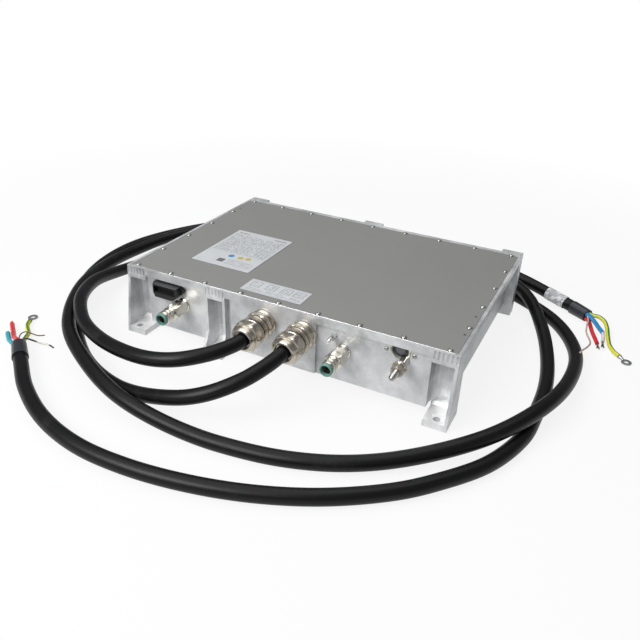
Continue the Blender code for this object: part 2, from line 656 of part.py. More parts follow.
def cut_holes(case):
    """Every drilled, tapped or milled opening of the case."""
    depth = WALL_THICKNESS + 0.012
    half_x, half_y = COVER_HALF_WIDTH + PLATE_GAP, COVER_HALF_DEPTH + PLATE_GAP
    cut(case, plate("cover_recess", rounded_rectangle(-half_x, -half_y, half_x, half_y, COVER_CORNER + PLATE_GAP),
                    FLANGE_TOP, COVER_TOP + 0.002))
    foot_holes = []
    flutes = []
    for name, low_x, high_x, web_side, rib, at_front in legs():
        x = (low_x + high_x) / 2
        y = FOOT_HOLE_FRONT if at_front else FOOT_HOLE_BACK
        foot_holes.append(((x, y, -0.002), (x, y, FOOT_THICKNESS + 0.002)))
        if at_front:
            for i in range(FLUTE_COUNT):
                flute_x = x + (i - (FLUTE_COUNT - 1) / 2) * FLUTE_PITCH
                flutes.append(((flute_x, FLANGE_FRONT, FLUTE_START),
                               (flute_x, FLANGE_FRONT, COVER_TOP - 0.0008)))
    cut(case, rods("foot_holes", foot_holes, FOOT_HOLE_RADIUS, SMALL_SIDES))
    cut(case, rods("flutes", flutes, FLUTE_RADIUS, 6))
    screw_holes = [((x, y, FLANGE_TOP - SCREW_DEPTH - 0.0006), (x, y, FLANGE_TOP + 0.002))
                   for x, y in screw_places()]
    cut(case, rods("cover_screw_holes", screw_holes, SCREW_SHANK_RADIUS + SCREW_CLEARANCE, 6))
    cut(case, gasket_ring("gasket_groove", GASKET_WIDTH / 2 + PLATE_GAP,
                          FLANGE_TOP - GASKET_DEPTH - PLATE_GAP, FLANGE_TOP + 0.002))
    for x in (LEFT_GLAND_X, RIGHT_GLAND_X):
        cut(case, rod("gland_hole", (x, PAD_FACE - 0.004, GLAND_Z), (x, PAD_FACE + depth, GLAND_Z),
                      GLAND_HOLE_RADIUS))
        half = LOCKNUT_POCKET_WIDTH / 2
        cut(case, box("locknut_pocket", (x - half, WALL_FRONT + WALL_THICKNESS, GLAND_Z),
                      (x + half, -OPENING_HALF_DEPTH + 0.001, LOCKNUT_POCKET_TOP)))
    for x, z in ((INLET_X, INLET_Z), (OUTLET_X, OUTLET_Z)):
        cut(case, rod("fitting_hole", (x, WALL_FRONT - 0.004, z),
                      (x, WALL_FRONT + FITTING_SHANK_DEPTH + 0.0006, z), FITTING_HOLE_RADIUS, 16))
        cut(case, rod("passage_level", (x, WALL_FRONT + FITTING_SHANK_DEPTH, z), (x, PASSAGE_Y + 0.001, z),
                      COOLANT_BORE, SMALL_SIDES))
        cut(case, rod("passage_upright", (x, PASSAGE_Y, GALLERY_Z), (x, PASSAGE_Y, z), COOLANT_BORE,
                      SMALL_SIDES, turn=0.05))
        cut(case, rod("passage_gallery", (x, PASSAGE_Y - 0.001, GALLERY_Z), (x, CHANNEL_FRONT + 0.002, GALLERY_Z),
                      GALLERY_RADIUS, SMALL_SIDES, turn=0.07))
    cut(case, rod("stud_hole", (STUD_X, WALL_FRONT - 0.004, STUD_Z),
                  (STUD_X, WALL_FRONT + STUD_DEPTH + 0.0005, STUD_Z), STUD_HOLE_RADIUS, 16))
    cut(case, rod("standoff_hole", (STANDOFF_X, WALL_FRONT - 0.004, STANDOFF_Z),
                  (STANDOFF_X, WALL_FRONT + STANDOFF_DEPTH + 0.0005, STANDOFF_Z),
                  STANDOFF_SHANK_RADIUS + PLATE_GAP, SMALL_SIDES))
    recess = rod("vent_recess", (VENT_X, WALL_FRONT - 0.002, VENT_Z),
                 (VENT_X, WALL_FRONT + VENT_RECESS_DEPTH, VENT_Z), VENT_RECESS_RADIUS)
    cut(recess, box("vent_recess_top", (VENT_X - 0.02, FLANGE_FRONT - 0.02, FLANGE_BOTTOM - 0.0004),
                    (VENT_X + 0.02, WALL_FRONT + 0.02, FLANGE_TOP)))
    cut(case, recess)
    cut(case, rod("vent_hole", (VENT_X, WALL_FRONT, VENT_Z - 0.0055),
                  (VENT_X, WALL_FRONT + depth, VENT_Z - 0.0055), VENT_HOLE_RADIUS / 2, SMALL_SIDES))
    clearance = PLATE_GAP + 0.0001
    inner = HEADER_HALF_WIDTH - HEADER_INSIDE_NARROWING
    cut(case, box("connector_window",
                  (CONNECTOR_X - HEADER_HALF_WIDTH + 0.002 - clearance, WALL_FRONT - 0.004,
                   CONNECTOR_Z - 0.0025 - clearance),
                  (CONNECTOR_X + inner + clearance, WALL_FRONT + WALL_THICKNESS + 0.002,
                   CONNECTOR_Z + HEADER_HALF_HEIGHT - 0.0010 + clearance)))
    small_holes = [((x, WALL_FRONT - 0.002, z), (x, WALL_FRONT + SMALL_SCREW_DEPTH + 0.0005, z))
                   for x, z in small_screw_places()]
    cut(case, rods("small_screw_holes", small_holes, SMALL_SCREW_SHANK + PLATE_GAP, 8))
    tie_x = FLANGE_HALF_WIDTH
    tie_y = (POCKET_DEPTH_BACK + LUG_BACK) / 2
    tie_z = POCKET_TOP - TIE_HOLE_DROP
    cut(case, rod("tie_hole", (tie_x - 0.02, tie_y, tie_z), (tie_x + 0.01, tie_y, tie_z), TIE_HOLE_RADIUS,
                  SMALL_SIDES))
    low_x, low_y, high_x, high_y = jacket_outline(JACKET_MARGIN)
    grow = 0.0004
    cut(case, plate("jacket_seat", rounded_rectangle(low_x - grow, low_y - grow, high_x + grow, high_y + grow,
                                                     JACKET_CORNER), TRAY_BOTTOM - 0.001,
                    TRAY_BOTTOM + JACKET_SEAT))
    cut(case, make_channel_cutter())
    cut(case, jacket_ring("jacket_gasket_groove", JACKET_GASKET_HALF / 2 + PLATE_GAP,
                          TRAY_BOTTOM + JACKET_SEAT - 0.001, TRAY_BOTTOM + JACKET_SEAT + 0.0018))
    jacket_holes = [((x, y, TRAY_BOTTOM), (x, y, TRAY_BOTTOM + JACKET_SEAT + 0.0058))
                    for x, y in jacket_screws()]
    cut(case, rods("jacket_screw_holes", jacket_holes, SCREW_SHANK_RADIUS + SCREW_CLEARANCE, 6))


def small_screw_places():
    """The small screws of the connector and of the vent, as x and height."""
    places = [(CONNECTOR_X + side * HEADER_SCREW_SPACING, CONNECTOR_Z + HEADER_SCREW_RISE) for side in (-1, 1)]
    places += [(VENT_X + side * VENT_SCREW_SPACING, VENT_SCREW_Z) for side in (-1, 1)]
    return places


def ring_plate(name, outer, inner, low_z, high_z):
    """A flat ring between two closed outlines."""
    made = plate(name, outer, low_z, high_z)
    cut(made, plate(name + "_inside", inner, low_z - 0.002, high_z + 0.002))
    return made


def gasket_ring(name, half_width, low_z, high_z):
    """The cover gasket's path, just outside the case's opening."""
    x = OPENING_HALF_WIDTH + GASKET_OFFSET + GASKET_WIDTH / 2
    y = OPENING_HALF_DEPTH + GASKET_OFFSET + GASKET_WIDTH / 2
    outer = rounded_rectangle(-x - half_width, -y - half_width, x + half_width, y + half_width, 0.007)
    inner = rounded_rectangle(-x + half_width, -y + half_width, x - half_width, y - half_width, 0.005)
    return ring_plate(name, outer, inner, low_z, high_z)


def jacket_ring(name, half_width, low_z, high_z):
    """The jacket gasket's path, between the channel and the screws."""
    low_x, low_y, high_x, high_y = jacket_outline(JACKET_MARGIN * 0.33)
    outer = rounded_rectangle(low_x - half_width, low_y - half_width, high_x + half_width,
                              high_y + half_width, 0.007)
    inner = rounded_rectangle(low_x + half_width, low_y + half_width, high_x - half_width,
                              high_y - half_width, 0.005)
    return ring_plate(name, outer, inner, low_z, high_z)


def make_cover():
    """The cover plate with its row of dome head screws, which are one node with it."""
    cover = plate("cover_plate", rounded_rectangle(-COVER_HALF_WIDTH, -COVER_HALF_DEPTH, COVER_HALF_WIDTH,
                                                   COVER_HALF_DEPTH, COVER_CORNER), COVER_BOTTOM, COVER_TOP)
    heads = bmesh.new()
    for x, y in screw_places():
        add_rod(heads, (x, y, COVER_TOP - 0.0005), (x, y, COVER_TOP + SCREW_HEAD_HEIGHT),
                SCREW_HEAD_RADIUS, SMALL_SIDES, SCREW_HEAD_RADIUS * 0.62)
    join(cover, object_from("cover_screw_heads", heads))
    shanks = [((x, y, FLANGE_TOP - SCREW_DEPTH), (x, y, COVER_TOP - 0.001)) for x, y in screw_places()]
    join(cover, rods("cover_screw_shanks", shanks, SCREW_SHANK_RADIUS, 6))
    part(cover, COVER_GREY)
    part(gasket_ring("cover_gasket", GASKET_WIDTH / 2, FLANGE_TOP - GASKET_DEPTH, FLANGE_TOP), BLACK_RUBBER)


def make_jacket():
    """The plate that closes the coolant channel from below, with its screws and gasket."""
    low_x, low_y, high_x, high_y = jacket_outline(JACKET_MARGIN)
    jacket = plate("jacket_plate", rounded_rectangle(low_x, low_y, high_x, high_y, JACKET_CORNER),
                   TRAY_BOTTOM + 0.0002, TRAY_BOTTOM + 0.0002 + JACKET_THICKNESS)
    heads = [((x, y, TRAY_BOTTOM - JACKET_SCREW_HEIGHT), (x, y, TRAY_BOTTOM + 0.001))
             for x, y in jacket_screws()]
    join(jacket, rods("jacket_screw_heads", heads, JACKET_SCREW_RADIUS, 8))
    shanks = [((x, y, TRAY_BOTTOM + 0.001), (x, y, TRAY_BOTTOM + JACKET_SEAT + 0.0052))
              for x, y in jacket_screws()]
    join(jacket, rods("jacket_screw_shanks", shanks, SCREW_SHANK_RADIUS, 6))
    part(jacket, CAST_ALUMINIUM)
    base = TRAY_BOTTOM + 0.0002 + JACKET_THICKNESS + PLATE_GAP
    part(jacket_ring("jacket_gasket", JACKET_GASKET_HALF / 2, base, TRAY_BOTTOM + JACKET_SEAT + 0.0015),
         BLACK_RUBBER)


def make_gland(side, x):
    """One cable gland: body with hex and ribs, dome nut, seal in its mouth, locknut behind the wall."""
    place = (x, PAD_FACE, GLAND_Z)
    outer = [(GLAND_BORE, GLAND_STUB_END), (GLAND_STUB_RADIUS, GLAND_STUB_END),
             (GLAND_STUB_RADIUS, GLAND_NUT_START - WALL_GAP), (GLAND_RIB_RADIUS, GLAND_NUT_START - WALL_GAP),
             (GLAND_RIB_RADIUS, GLAND_BASE + 0.0015), (GLAND_NECK_RADIUS, GLAND_BASE), (GLAND_NECK_RADIUS, WALL_GAP),
             (GLAND_SHANK_RADIUS, WALL_GAP), (GLAND_SHANK_RADIUS, -0.0160), (GLAND_BORE, -0.0160)]
    body = turned(side + "_gland_body", outer, place)
    hexagon = hex_rod(side + "_gland_hex", (x, PAD_FACE - WALL_GAP, GLAND_Z),
                      (x, PAD_FACE - GLAND_BASE, GLAND_Z), GLAND_HEX)
    cut(hexagon, rod(side + "_gland_hex_bore", (x, PAD_FACE + 0.01, GLAND_Z), (x, PAD_FACE - 0.03, GLAND_Z),
                     (GLAND_BORE + GLAND_NECK_RADIUS) / 2))
    join(body, hexagon)
    part(body, NICKEL)
    bore = GLAND_STUB_RADIUS + GLAND_NUT_CLEARANCE
    seat = GLAND_SEAL_RADIUS + PLATE_GAP + 0.0001
    profile = [(GLAND_MOUTH_RADIUS, GLAND_REACH), (0.0128, GLAND_REACH), (0.0152, GLAND_REACH - 0.0020),
               (0.0172, GLAND_REACH - 0.0060), (0.0172, GLAND_NUT_START), (bore, GLAND_NUT_START),
               (bore, GLAND_NUT_SEAT), (seat, GLAND_NUT_SEAT), (seat, GLAND_MOUTH_START),
               (GLAND_MOUTH_RADIUS, GLAND_MOUTH_START)]
    nut = turned(side + "_gland_nut", profile, place)
    flats = hex_rod(side + "_nut_hex", (x, PAD_FACE - GLAND_NUT_START - 0.0012, GLAND_Z),
                    (x, PAD_FACE - GLAND_REACH + 0.0075, GLAND_Z), GLAND_HEX)
    cut(flats, rod(side + "_nut_hex_bore", (x, PAD_FACE, GLAND_Z), (x, PAD_FACE - 0.06, GLAND_Z), 0.0155))
    join(nut, flats)
    part(nut, NICKEL)
    seal = [(GLAND_SEAL_BORE, GLAND_SEAL_END), (GLAND_SEAL_RADIUS, GLAND_SEAL_END),
            (GLAND_SEAL_RADIUS, GLAND_SEAL_START), (GLAND_SEAL_BORE, GLAND_SEAL_START)]
    part(turned(side + "_gland_seal", seal, place), BLACK_RUBBER)
    inside = WALL_FRONT + WALL_THICKNESS + WALL_GAP
    locknut = hex_rod(side + "_gland_locknut", (x, inside, GLAND_Z), (x, inside + LOCKNUT_THICKNESS, GLAND_Z),
                      LOCKNUT_HEX)
    cut(locknut, rod(side + "_locknut_bore", (x, inside - 0.01, GLAND_Z), (x, inside + 0.02, GLAND_Z),
                     GLAND_HOLE_RADIUS))
    part(locknut, NICKEL)


def make_fitting(name, x, z):
    """One push-in coolant fitting and its release ring."""
    place = (x, WALL_FRONT, z)
    end = RING_START - WALL_GAP
    groove = FITTING_COLLAR_RADIUS - 0.0010
    profile = [(COOLANT_BORE, end), (FITTING_COLLAR_RADIUS - 0.0010, end),
               (FITTING_COLLAR_RADIUS, end - 0.0012), (FITTING_COLLAR_RADIUS, FITTING_HEX_END + 0.0024),
               (groove, FITTING_HEX_END + 0.0018), (groove, FITTING_HEX_END),
               (FITTING_SHANK_RADIUS, FITTING_HEX_END - 0.0010), (FITTING_SHANK_RADIUS, -FITTING_SHANK_DEPTH),
               (COOLANT_BORE, -FITTING_SHANK_DEPTH)]
    body = turned(name + "_fitting", profile, place)
    flats = hex_rod(name + "_fitting_hex", (x, WALL_FRONT - FITTING_HEX_START, z),
                    (x, WALL_FRONT - FITTING_HEX_END, z), FITTING_HEX, FITTING_HEX_TURN)
    cut(flats, rod(name + "_fitting_hex_bore", (x, WALL_FRONT + 0.02, z), (x, WALL_FRONT - 0.04, z),
                   (COOLANT_BORE + FITTING_SHANK_RADIUS) / 2, ROUND_SIDES))
    join(body, flats)
    part(body, NICKEL)
    ring = [(RING_BORE, FITTING_REACH - 0.0003), (RING_BORE + 0.0003, FITTING_REACH),
            (RING_RADIUS - 0.0008, FITTING_REACH), (RING_RADIUS, FITTING_REACH - 0.0010),
            (RING_RADIUS, RING_START), (RING_BORE, RING_START)]
    part(turned(name + "_ring", ring, place), GREEN_PLASTIC)


def make_ground_stud():
    """The ground stud with a shoulder, its washer and its flange nut."""
    place = (STUD_X, WALL_FRONT, STUD_Z)
    profile = [(0.0, STUD_REACH), (STUD_RADIUS - 0.0007, STUD_REACH), (STUD_RADIUS, STUD_REACH - 0.0012),
               (STUD_RADIUS, STUD_SHOULDER_END), (STUD_SHOULDER_RADIUS, STUD_SHOULDER_END),
               (STUD_SHOULDER_RADIUS, 0.0060), (STUD_SHOULDER_RADIUS + 0.0018, 0.0035),
               (STUD_SHOULDER_RADIUS + 0.0018, WALL_GAP), (STUD_RADIUS, WALL_GAP),
               (STUD_RADIUS, -STUD_DEPTH), (0.0, -STUD_DEPTH)]
    stud = turned("ground_stud", profile, place, sides=16)
    cut(stud, hex_rod("stud_socket", (STUD_X, WALL_FRONT - STUD_REACH - 0.001, STUD_Z),
                      (STUD_X, WALL_FRONT - STUD_REACH + STUD_SOCKET, STUD_Z), 0.0040))
    part(stud, STEEL)
    bore = STUD_HOLE_RADIUS
    washer_start = STUD_SHOULDER_END + WALL_GAP
    washer_end = washer_start + WASHER_THICKNESS
    washer = [(bore, washer_end), (WASHER_RADIUS, washer_end), (WASHER_RADIUS, washer_start), (bore, washer_start)]
    part(turned("ground_washer", washer, place), STEEL)
    nut_start = washer_end + WALL_GAP
    nut_end = nut_start + STUD_NUT_LENGTH
    nut_profile = [(bore, nut_end), (0.0056, nut_end), (0.0062, nut_start + 0.004),
                   (STUD_NUT_FLANGE_RADIUS, nut_start + 0.0016), (STUD_NUT_FLANGE_RADIUS, nut_start),
                   (bore, nut_start)]
    nut = turned("ground_nut", nut_profile, place)
    flats = hex_rod("ground_nut_hex", (STUD_X, WALL_FRONT - nut_start - 0.0010, STUD_Z),
                    (STUD_X, WALL_FRONT - nut_end + 0.0006, STUD_Z), STUD_NUT_HEX, turn=0.0)
    cut(flats, rod("ground_nut_bore", (STUD_X, WALL_FRONT, STUD_Z), (STUD_X, WALL_FRONT - 0.05, STUD_Z), 0.0050))
    join(nut, flats)
    part(nut, NICKEL)


def make_standoff():
    """A small hex standoff with a round tip."""
    y = WALL_FRONT
    body = hex_rod("hex_standoff", (STANDOFF_X, y - WALL_GAP, STANDOFF_Z),
                   (STANDOFF_X, y - STANDOFF_LENGTH, STANDOFF_Z), STANDOFF_HEX)
    join(body, rod("standoff_tip", (STANDOFF_X, y - STANDOFF_LENGTH + 0.001, STANDOFF_Z),
                   (STANDOFF_X, y - STANDOFF_LENGTH - STANDOFF_TIP, STANDOFF_Z), STANDOFF_TIP_RADIUS, SMALL_SIDES,
                   STANDOFF_TIP_RADIUS * 0.7))
    join(body, rod("standoff_shank", (STANDOFF_X, y + STANDOFF_DEPTH, STANDOFF_Z),
                   (STANDOFF_X, y - 0.002, STANDOFF_Z), STANDOFF_SHANK_RADIUS, SMALL_SIDES))
    part(body, STEEL)


def make_vent():
    """The vent plug at the bottom of its recess under the flange."""
    radius = VENT_RECESS_RADIUS - 0.0012
    plug = rod("vent_plug", (VENT_X, WALL_FRONT + VENT_RECESS_DEPTH - WALL_GAP, VENT_Z),
               (VENT_X, WALL_FRONT + 0.0012, VENT_Z), radius)
    join(plug, rod("vent_plug_hub", (VENT_X, WALL_FRONT + 0.0014, VENT_Z), (VENT_X, WALL_FRONT + 0.0002, VENT_Z),
                   0.0050, 16))
    cut(plug, box("vent_plug_top", (VENT_X - 0.02, FLANGE_FRONT - 0.02, FLANGE_BOTTOM - 0.0010),
                  (VENT_X + 0.02, WALL_FRONT + 0.02, FLANGE_TOP)))
    join(plug, rod("vent_shank", (VENT_X, WALL_FRONT + 0.002, VENT_Z - 0.0055),
                   (VENT_X, WALL_FRONT + WALL_THICKNESS - 0.0005, VENT_Z - 0.0055), VENT_HOLE_RADIUS / 2 - 0.0004,
                   SMALL_SIDES))
    part(plug, BLACK_PLASTIC)


def front_plate(name, outline, front, back):
    """An outline in the plane of x and z, raised along y from its front to its back."""
    made = plate(name, outline, front, back)
    made.data.transform(Matrix(((1, 0, 0, 0), (0, 0, 1, 0), (0, 1, 0, 0), (0, 0, 0, 1))))
    flip_faces(made)
    return made


def make_connector():
    """The signal connector's header: flange with ears, chamfered shell and a grid of contacts."""
    x, z, y = CONNECTOR_X, CONNECTOR_Z, WALL_FRONT
    w, h = HEADER_HALF_WIDTH, HEADER_HALF_HEIGHT
    near, far = HEADER_LEFT_CHAMFER, HEADER_RIGHT_CHAMFER
    seat = y - WALL_GAP
    header = box("signal_connector", (x - HEADER_FLANGE_HALF_WIDTH, seat - HEADER_FLANGE_THICKNESS, z - h + far[1]),
                 (x + HEADER_FLANGE_HALF_WIDTH, seat, z + h + 0.0012))
    for side, (sx, sz) in zip(("left", "right"), small_screw_places()):
        join(header, rod("connector_ear_" + side, (sx, seat - HEADER_FLANGE_THICKNESS, sz), (sx, seat, sz),
                         HEADER_EAR_RADIUS, 16))
    outline = [(x - w + near[0], z - h), (x + w - far[0], z - h), (x + w, z - h + far[1]), (x + w, z + h),
               (x - w, z + h), (x - w, z - h + near[1])]
    tip = y - HEADER_REACH
    join(header, front_plate("connector_shell", outline, tip, y - 0.0010))
    inner = w - HEADER_INSIDE_NARROWING
    join(header, box("connector_back", (x - w + 0.002, y - 0.002, z - 0.0025),
                     (x + inner, y + HEADER_INSIDE, z + h - 0.0010)))
    cut(header, box("connector_mouth", (x - w + HEADER_WALL, tip - 0.01, z - h + near[1] + 0.0006),
                    (x + w - HEADER_WALL, tip + HEADER_DEPTH, z + h - HEADER_WALL)))
    contacts = []
    for column in range(CONTACT_COLUMNS):
        for row in range(CONTACT_ROWS):
            cx = x + (column - (CONTACT_COLUMNS - 1) / 2) * CONTACT_PITCH
            cz = z + 0.0022 + (row - (CONTACT_ROWS - 1) / 2) * CONTACT_PITCH * 0.85
            half = CONTACT_WIDTH / 2
            contacts.append(((cx - half, tip + HEADER_DEPTH - CONTACT_HEIGHT, cz - half),
                             (cx + half, tip + HEADER_DEPTH + 0.001, cz + half)))
    join(header, boxes("connector_contacts", contacts))
    screws = [((sx, y + 0.01, sz), (sx, y - 0.01, sz)) for sx, sz in small_screw_places()[:2]]
    cut(header, rods("connector_screw_holes", screws, SMALL_SCREW_SHANK + PLATE_GAP, 8))
    part(header, BLACK_PLASTIC)


def flip_faces(made):
    """Turns a mesh's faces round, after a mirrored transform."""
    shape = bmesh.new()
    shape.from_mesh(made.data)
    bmesh.ops.reverse_faces(shape, faces=shape.faces)
    shape.to_mesh(made.data)
    shape.free()


def make_small_screws():
    """The pan head screws of the connector and of the vent."""
    names = ("connector_screw_left", "connector_screw_right", "vent_screw_left", "vent_screw_right")
    for name, (x, z) in zip(names, small_screw_places()):
        seat = HEADER_FLANGE_THICKNESS + WALL_GAP if name.startswith("connector") else 0.0
        head = seat + WALL_GAP
        profile = [(0.0, head + SMALL_SCREW_HEIGHT), (SMALL_SCREW_RADIUS * 0.7, head + SMALL_SCREW_HEIGHT),
                   (SMALL_SCREW_RADIUS, head + SMALL_SCREW_HEIGHT * 0.5), (SMALL_SCREW_RADIUS, head),
                   (SMALL_SCREW_SHANK, head), (SMALL_SCREW_SHANK, -SMALL_SCREW_DEPTH), (0.0, -SMALL_SCREW_DEPTH)]
        part(turned(name, profile, (x, WALL_FRONT, z), sides=SMALL_SIDES), STEEL)


def make_labels():
    """The two labels on the cover."""
    for name, (x, y, width, depth) in (("rating_label", RATING_LABEL), ("handling_label", HANDLING_LABEL)):
        base = COVER_TOP + PLATE_GAP
        part(box(name, (x, y, base), (x + width, y + depth, base + LABEL_THICKNESS)), LABEL_WHITE)


def smooth_route(route, step, lead=None):
    """Even points along one smooth curve through the route's points, by the centripetal rule.

    A lead is a point before the first one, which the curve comes from but doesn't reach.
    """
    points = [Vector(p) for p in route]
    before = Vector(lead) if lead else 2 * points[0] - points[1]
    points = [before] + points + [2 * points[-1] - points[-2]]
    dense = []
    for a, b, c, d in zip(points, points[1:], points[2:], points[3:]):
        t0, t1 = 0.0, math.sqrt((b - a).length)
        t2 = t1 + math.sqrt((c - b).length)
        t3 = t2 + math.sqrt((d - c).length)
        for k in range(20):
            t = t1 + (t2 - t1) * k / 20
            ab = a.lerp(b, (t - t0) / (t1 - t0))
            bc = b.lerp(c, (t - t1) / (t2 - t1))
            cd = c.lerp(d, (t - t2) / (t3 - t2))
            abc = ab.lerp(bc, (t - t0) / (t2 - t0))
            bcd = bc.lerp(cd, (t - t1) / (t3 - t1))
            dense.append(abc.lerp(bcd, (t - t1) / (t2 - t1)))
    dense.append(points[-2])
    lengths = [0.0]
    for a, b in zip(dense, dense[1:]):
        lengths.append(lengths[-1] + (b - a).length)
    count = max(2, round(lengths[-1] / step))
    result = []
    index = 0
    for k in range(count + 1):
        target = lengths[-1] * k / count
        while index < len(lengths) - 2 and lengths[index + 1] < target:
            index += 1
        share = (target - lengths[index]) / (lengths[index + 1] - lengths[index])
        result.append(dense[index].lerp(dense[index + 1], share))
    return result


def tube(name, points, radius, resolution=2):
    """A round tube along points, as a curve with filled caps."""
    curve = bpy.data.curves.new(name, "CURVE")
    curve.dimensions = "3D"
    curve.bevel_depth = radius
    curve.bevel_resolution = resolution
    curve.use_fill_caps = True
    spline = curve.splines.new("POLY")
    spline.points.add(len(points) - 1)
    for point, place in zip(spline.points, points):
        point.co = (*place, 1.0)
    made = bpy.data.objects.new(name, curve)
    cutters.objects.link(made)
    made.parent = case_frame
    made.hide_render = True
    made.display_type = "WIRE"
    return made


def cable_part(made, finish):
    """Moves a curve object to the parts and gives it its material."""
    cutters.objects.unlink(made)
    parts.objects.link(made)
    made.hide_render = False
    made.display_type = "TEXTURED"
    made.data.materials.append(finish)
    return made


# The left cable: out of the left gland, round the left, behind the case, round the right and along
# the front to its free end on the left. It passes over the right cable twice and under it once.
LEFT_CABLE = (
    (-0.0160, -0.1955, 0.0660), (-0.0160, -0.2015, 0.0660), (-0.0210, -0.2150, 0.0650), (-0.0340, -0.2330, 0.0620),
    (-0.0650, -0.2560, 0.0565), (-0.1030, -0.2640, 0.0510), (-0.1660, -0.2550, 0.0450), (-0.2260, -0.2300, 0.0410),
    (-0.2610, -0.2040, 0.0405), (-0.2900, -0.1720, 0.0395), (-0.3200, -0.1160, 0.0315), (-0.3340, -0.0540, 0.0175),
    (-0.3340, -0.0100, 0.0110), (-0.3240, 0.0570, 0.0091), (-0.3090, 0.0990, 0.0095), (-0.2710, 0.1520, 0.0095),
    (-0.2360, 0.1780, 0.0091), (-0.1750, 0.2000, 0.0091), (-0.0420, 0.2080, 0.0095), (0.0470, 0.2150, 0.0155),
    (0.1140, 0.2200, 0.0235), (0.1780, 0.2110, 0.0295), (0.2150, 0.1920, 0.0295), (0.2450, 0.1610, 0.0255),
    (0.2750, 0.1020, 0.0165), (0.2950, 0.0370, 0.0105), (0.3050, -0.0290, 0.0091), (0.3050, -0.0960, 0.0091),
    (0.3010, -0.1400, 0.0091), (0.2790, -0.2000, 0.0095), (0.2390, -0.2530, 0.0095), (0.2070, -0.2840, 0.0091),
    (0.1520, -0.3220, 0.0091), (0.0920, -0.3500, 0.0091), (0.0290, -0.3690, 0.0095), (-0.0370, -0.3790, 0.0095),
    (-0.1030, -0.3780, 0.0091), (-0.1670, -0.3620, 0.0091), (-0.2260, -0.3320, 0.0095),
    (-0.2743, -0.2958, 0.0100), (-0.2790, -0.2920, 0.0100),
)

# The right cable: out of the right gland, round the left behind the other, behind the case, round
# the right and along the front, round the left again, behind the case and out to the right.
RIGHT_CABLE = (
    (0.0380, -0.1955, 0.0660), (0.0380, -0.2015, 0.0660), (0.0355, -0.2160, 0.0640), (0.0280, -0.2360, 0.0595),
    (0.0180, -0.2530, 0.0545), (-0.0100, -0.2760, 0.0425), (-0.0470, -0.2870, 0.0305), (-0.1280, -0.2820, 0.0115),
    (-0.2050, -0.2560, 0.0095), (-0.2900, -0.1900, 0.0095), (-0.3480, -0.1230, 0.0091), (-0.3840, -0.0420, 0.0100),
    (-0.3920, 0.0430, 0.0100), (-0.3680, 0.1280, 0.0091), (-0.3180, 0.1980, 0.0100), (-0.2390, 0.2350, 0.0095),
    (0.0230, 0.2470, 0.0091), (0.1310, 0.2320, 0.0100), (0.2140, 0.1980, 0.0100), (0.2850, 0.1440, 0.0100),
    (0.3240, 0.0670, 0.0135), (0.3290, -0.0220, 0.0215), (0.3090, -0.1090, 0.0285), (0.2640, -0.1830, 0.0225),
    (0.1830, -0.2520, 0.0120), (0.1050, -0.2900, 0.0095), (0.0000, -0.3080, 0.0095), (-0.1040, -0.3050, 0.0195),
    (-0.1860, -0.2750, 0.0255), (-0.2630, -0.2250, 0.0280), (-0.3290, -0.1380, 0.0265), (-0.3620, -0.0550, 0.0195),
    (-0.3720, 0.0310, 0.0130), (-0.3530, 0.1170, 0.0135), (-0.3020, 0.1840, 0.0125), (-0.2240, 0.2180, 0.0095),
    (-0.1150, 0.2280, 0.0130), (0.0090, 0.2400, 0.0265), (0.1110, 0.2550, 0.0275), (0.2080, 0.2420, 0.0200),
    (0.2975, 0.2040, 0.0107),
    (0.3030, 0.2000, 0.0105),
)


def cable_points(route, step):
    """The points of a cable: even steps, with a short straight piece at the gland and at the end."""
    return [Vector(route[0])] + smooth_route(route[1:-1], step, route[0]) + [Vector(route[-1])]


def make_cables():
    """The two cables as plain round tubes along their routes."""
    for name, route, step in (("left_cable", LEFT_CABLE, LEFT_CABLE_STEP),
                              ("right_cable", RIGHT_CABLE, RIGHT_CABLE_STEP)):
        cable_part(tube(name, cable_points(route, step), CABLE_RADIUS), BLACK_RUBBER)


def make_cable_end(side, route, step, boot_length):
    """The heat-shrink sleeve that closes a cable's free end. Returns its end and its direction."""
    before, tip = cable_points(route, step)[-2:]
    way = (tip - before).normalized()
    way.z = 0.0
    way.normalize()
    tip.z = BOOT_RADIUS + PLATE_GAP
    start = tip + way * CABLE_CLEARANCE
    end = start + way * boot_length
    part(rod(side + "_cable_boot", start, end, BOOT_RADIUS, ROUND_SIDES, BOOT_RADIUS * 0.92), BLACK_PLASTIC)
    return end, way


def make_tag():
    """A white paper wrap round a straight piece of the right cable."""
    points = cable_points(RIGHT_CABLE, RIGHT_CABLE_STEP)
    middle = Vector(TAG_PLACE)
    pairs = [(a, b) for a, b in zip(points, points[1:])]
    a, b = min(pairs, key=lambda pair: ((pair[0] + pair[1]) / 2 - middle).length)
    way = (b - a).normalized()
    centre = (a + b) / 2
    tag = rod("cable_tag", centre - way * TAG_LENGTH / 2, centre + way * TAG_LENGTH / 2, TAG_RADIUS)
    cut(tag, rod("cable_tag_bore", centre - way * TAG_LENGTH, centre + way * TAG_LENGTH, CABLE_RADIUS + 0.0003))
    part(tag, LABEL_WHITE)


def core(name, end, way, angle, offset, route, radius, finish):
    """One loose core. It leaves the sleeve's end at an angle round its axis, then follows its route."""
    side = way.cross(Vector((0, 0, 1)))
    start = end + way * WALL_GAP * 2
    start += side * offset * math.cos(math.radians(angle)) + Vector((0, 0, offset * math.sin(math.radians(angle))))
    points = [start] + smooth_route([start + way * 0.006, *route], radius * 3.5, start)
    cable_part(tube(name, points, radius, 1), finish)


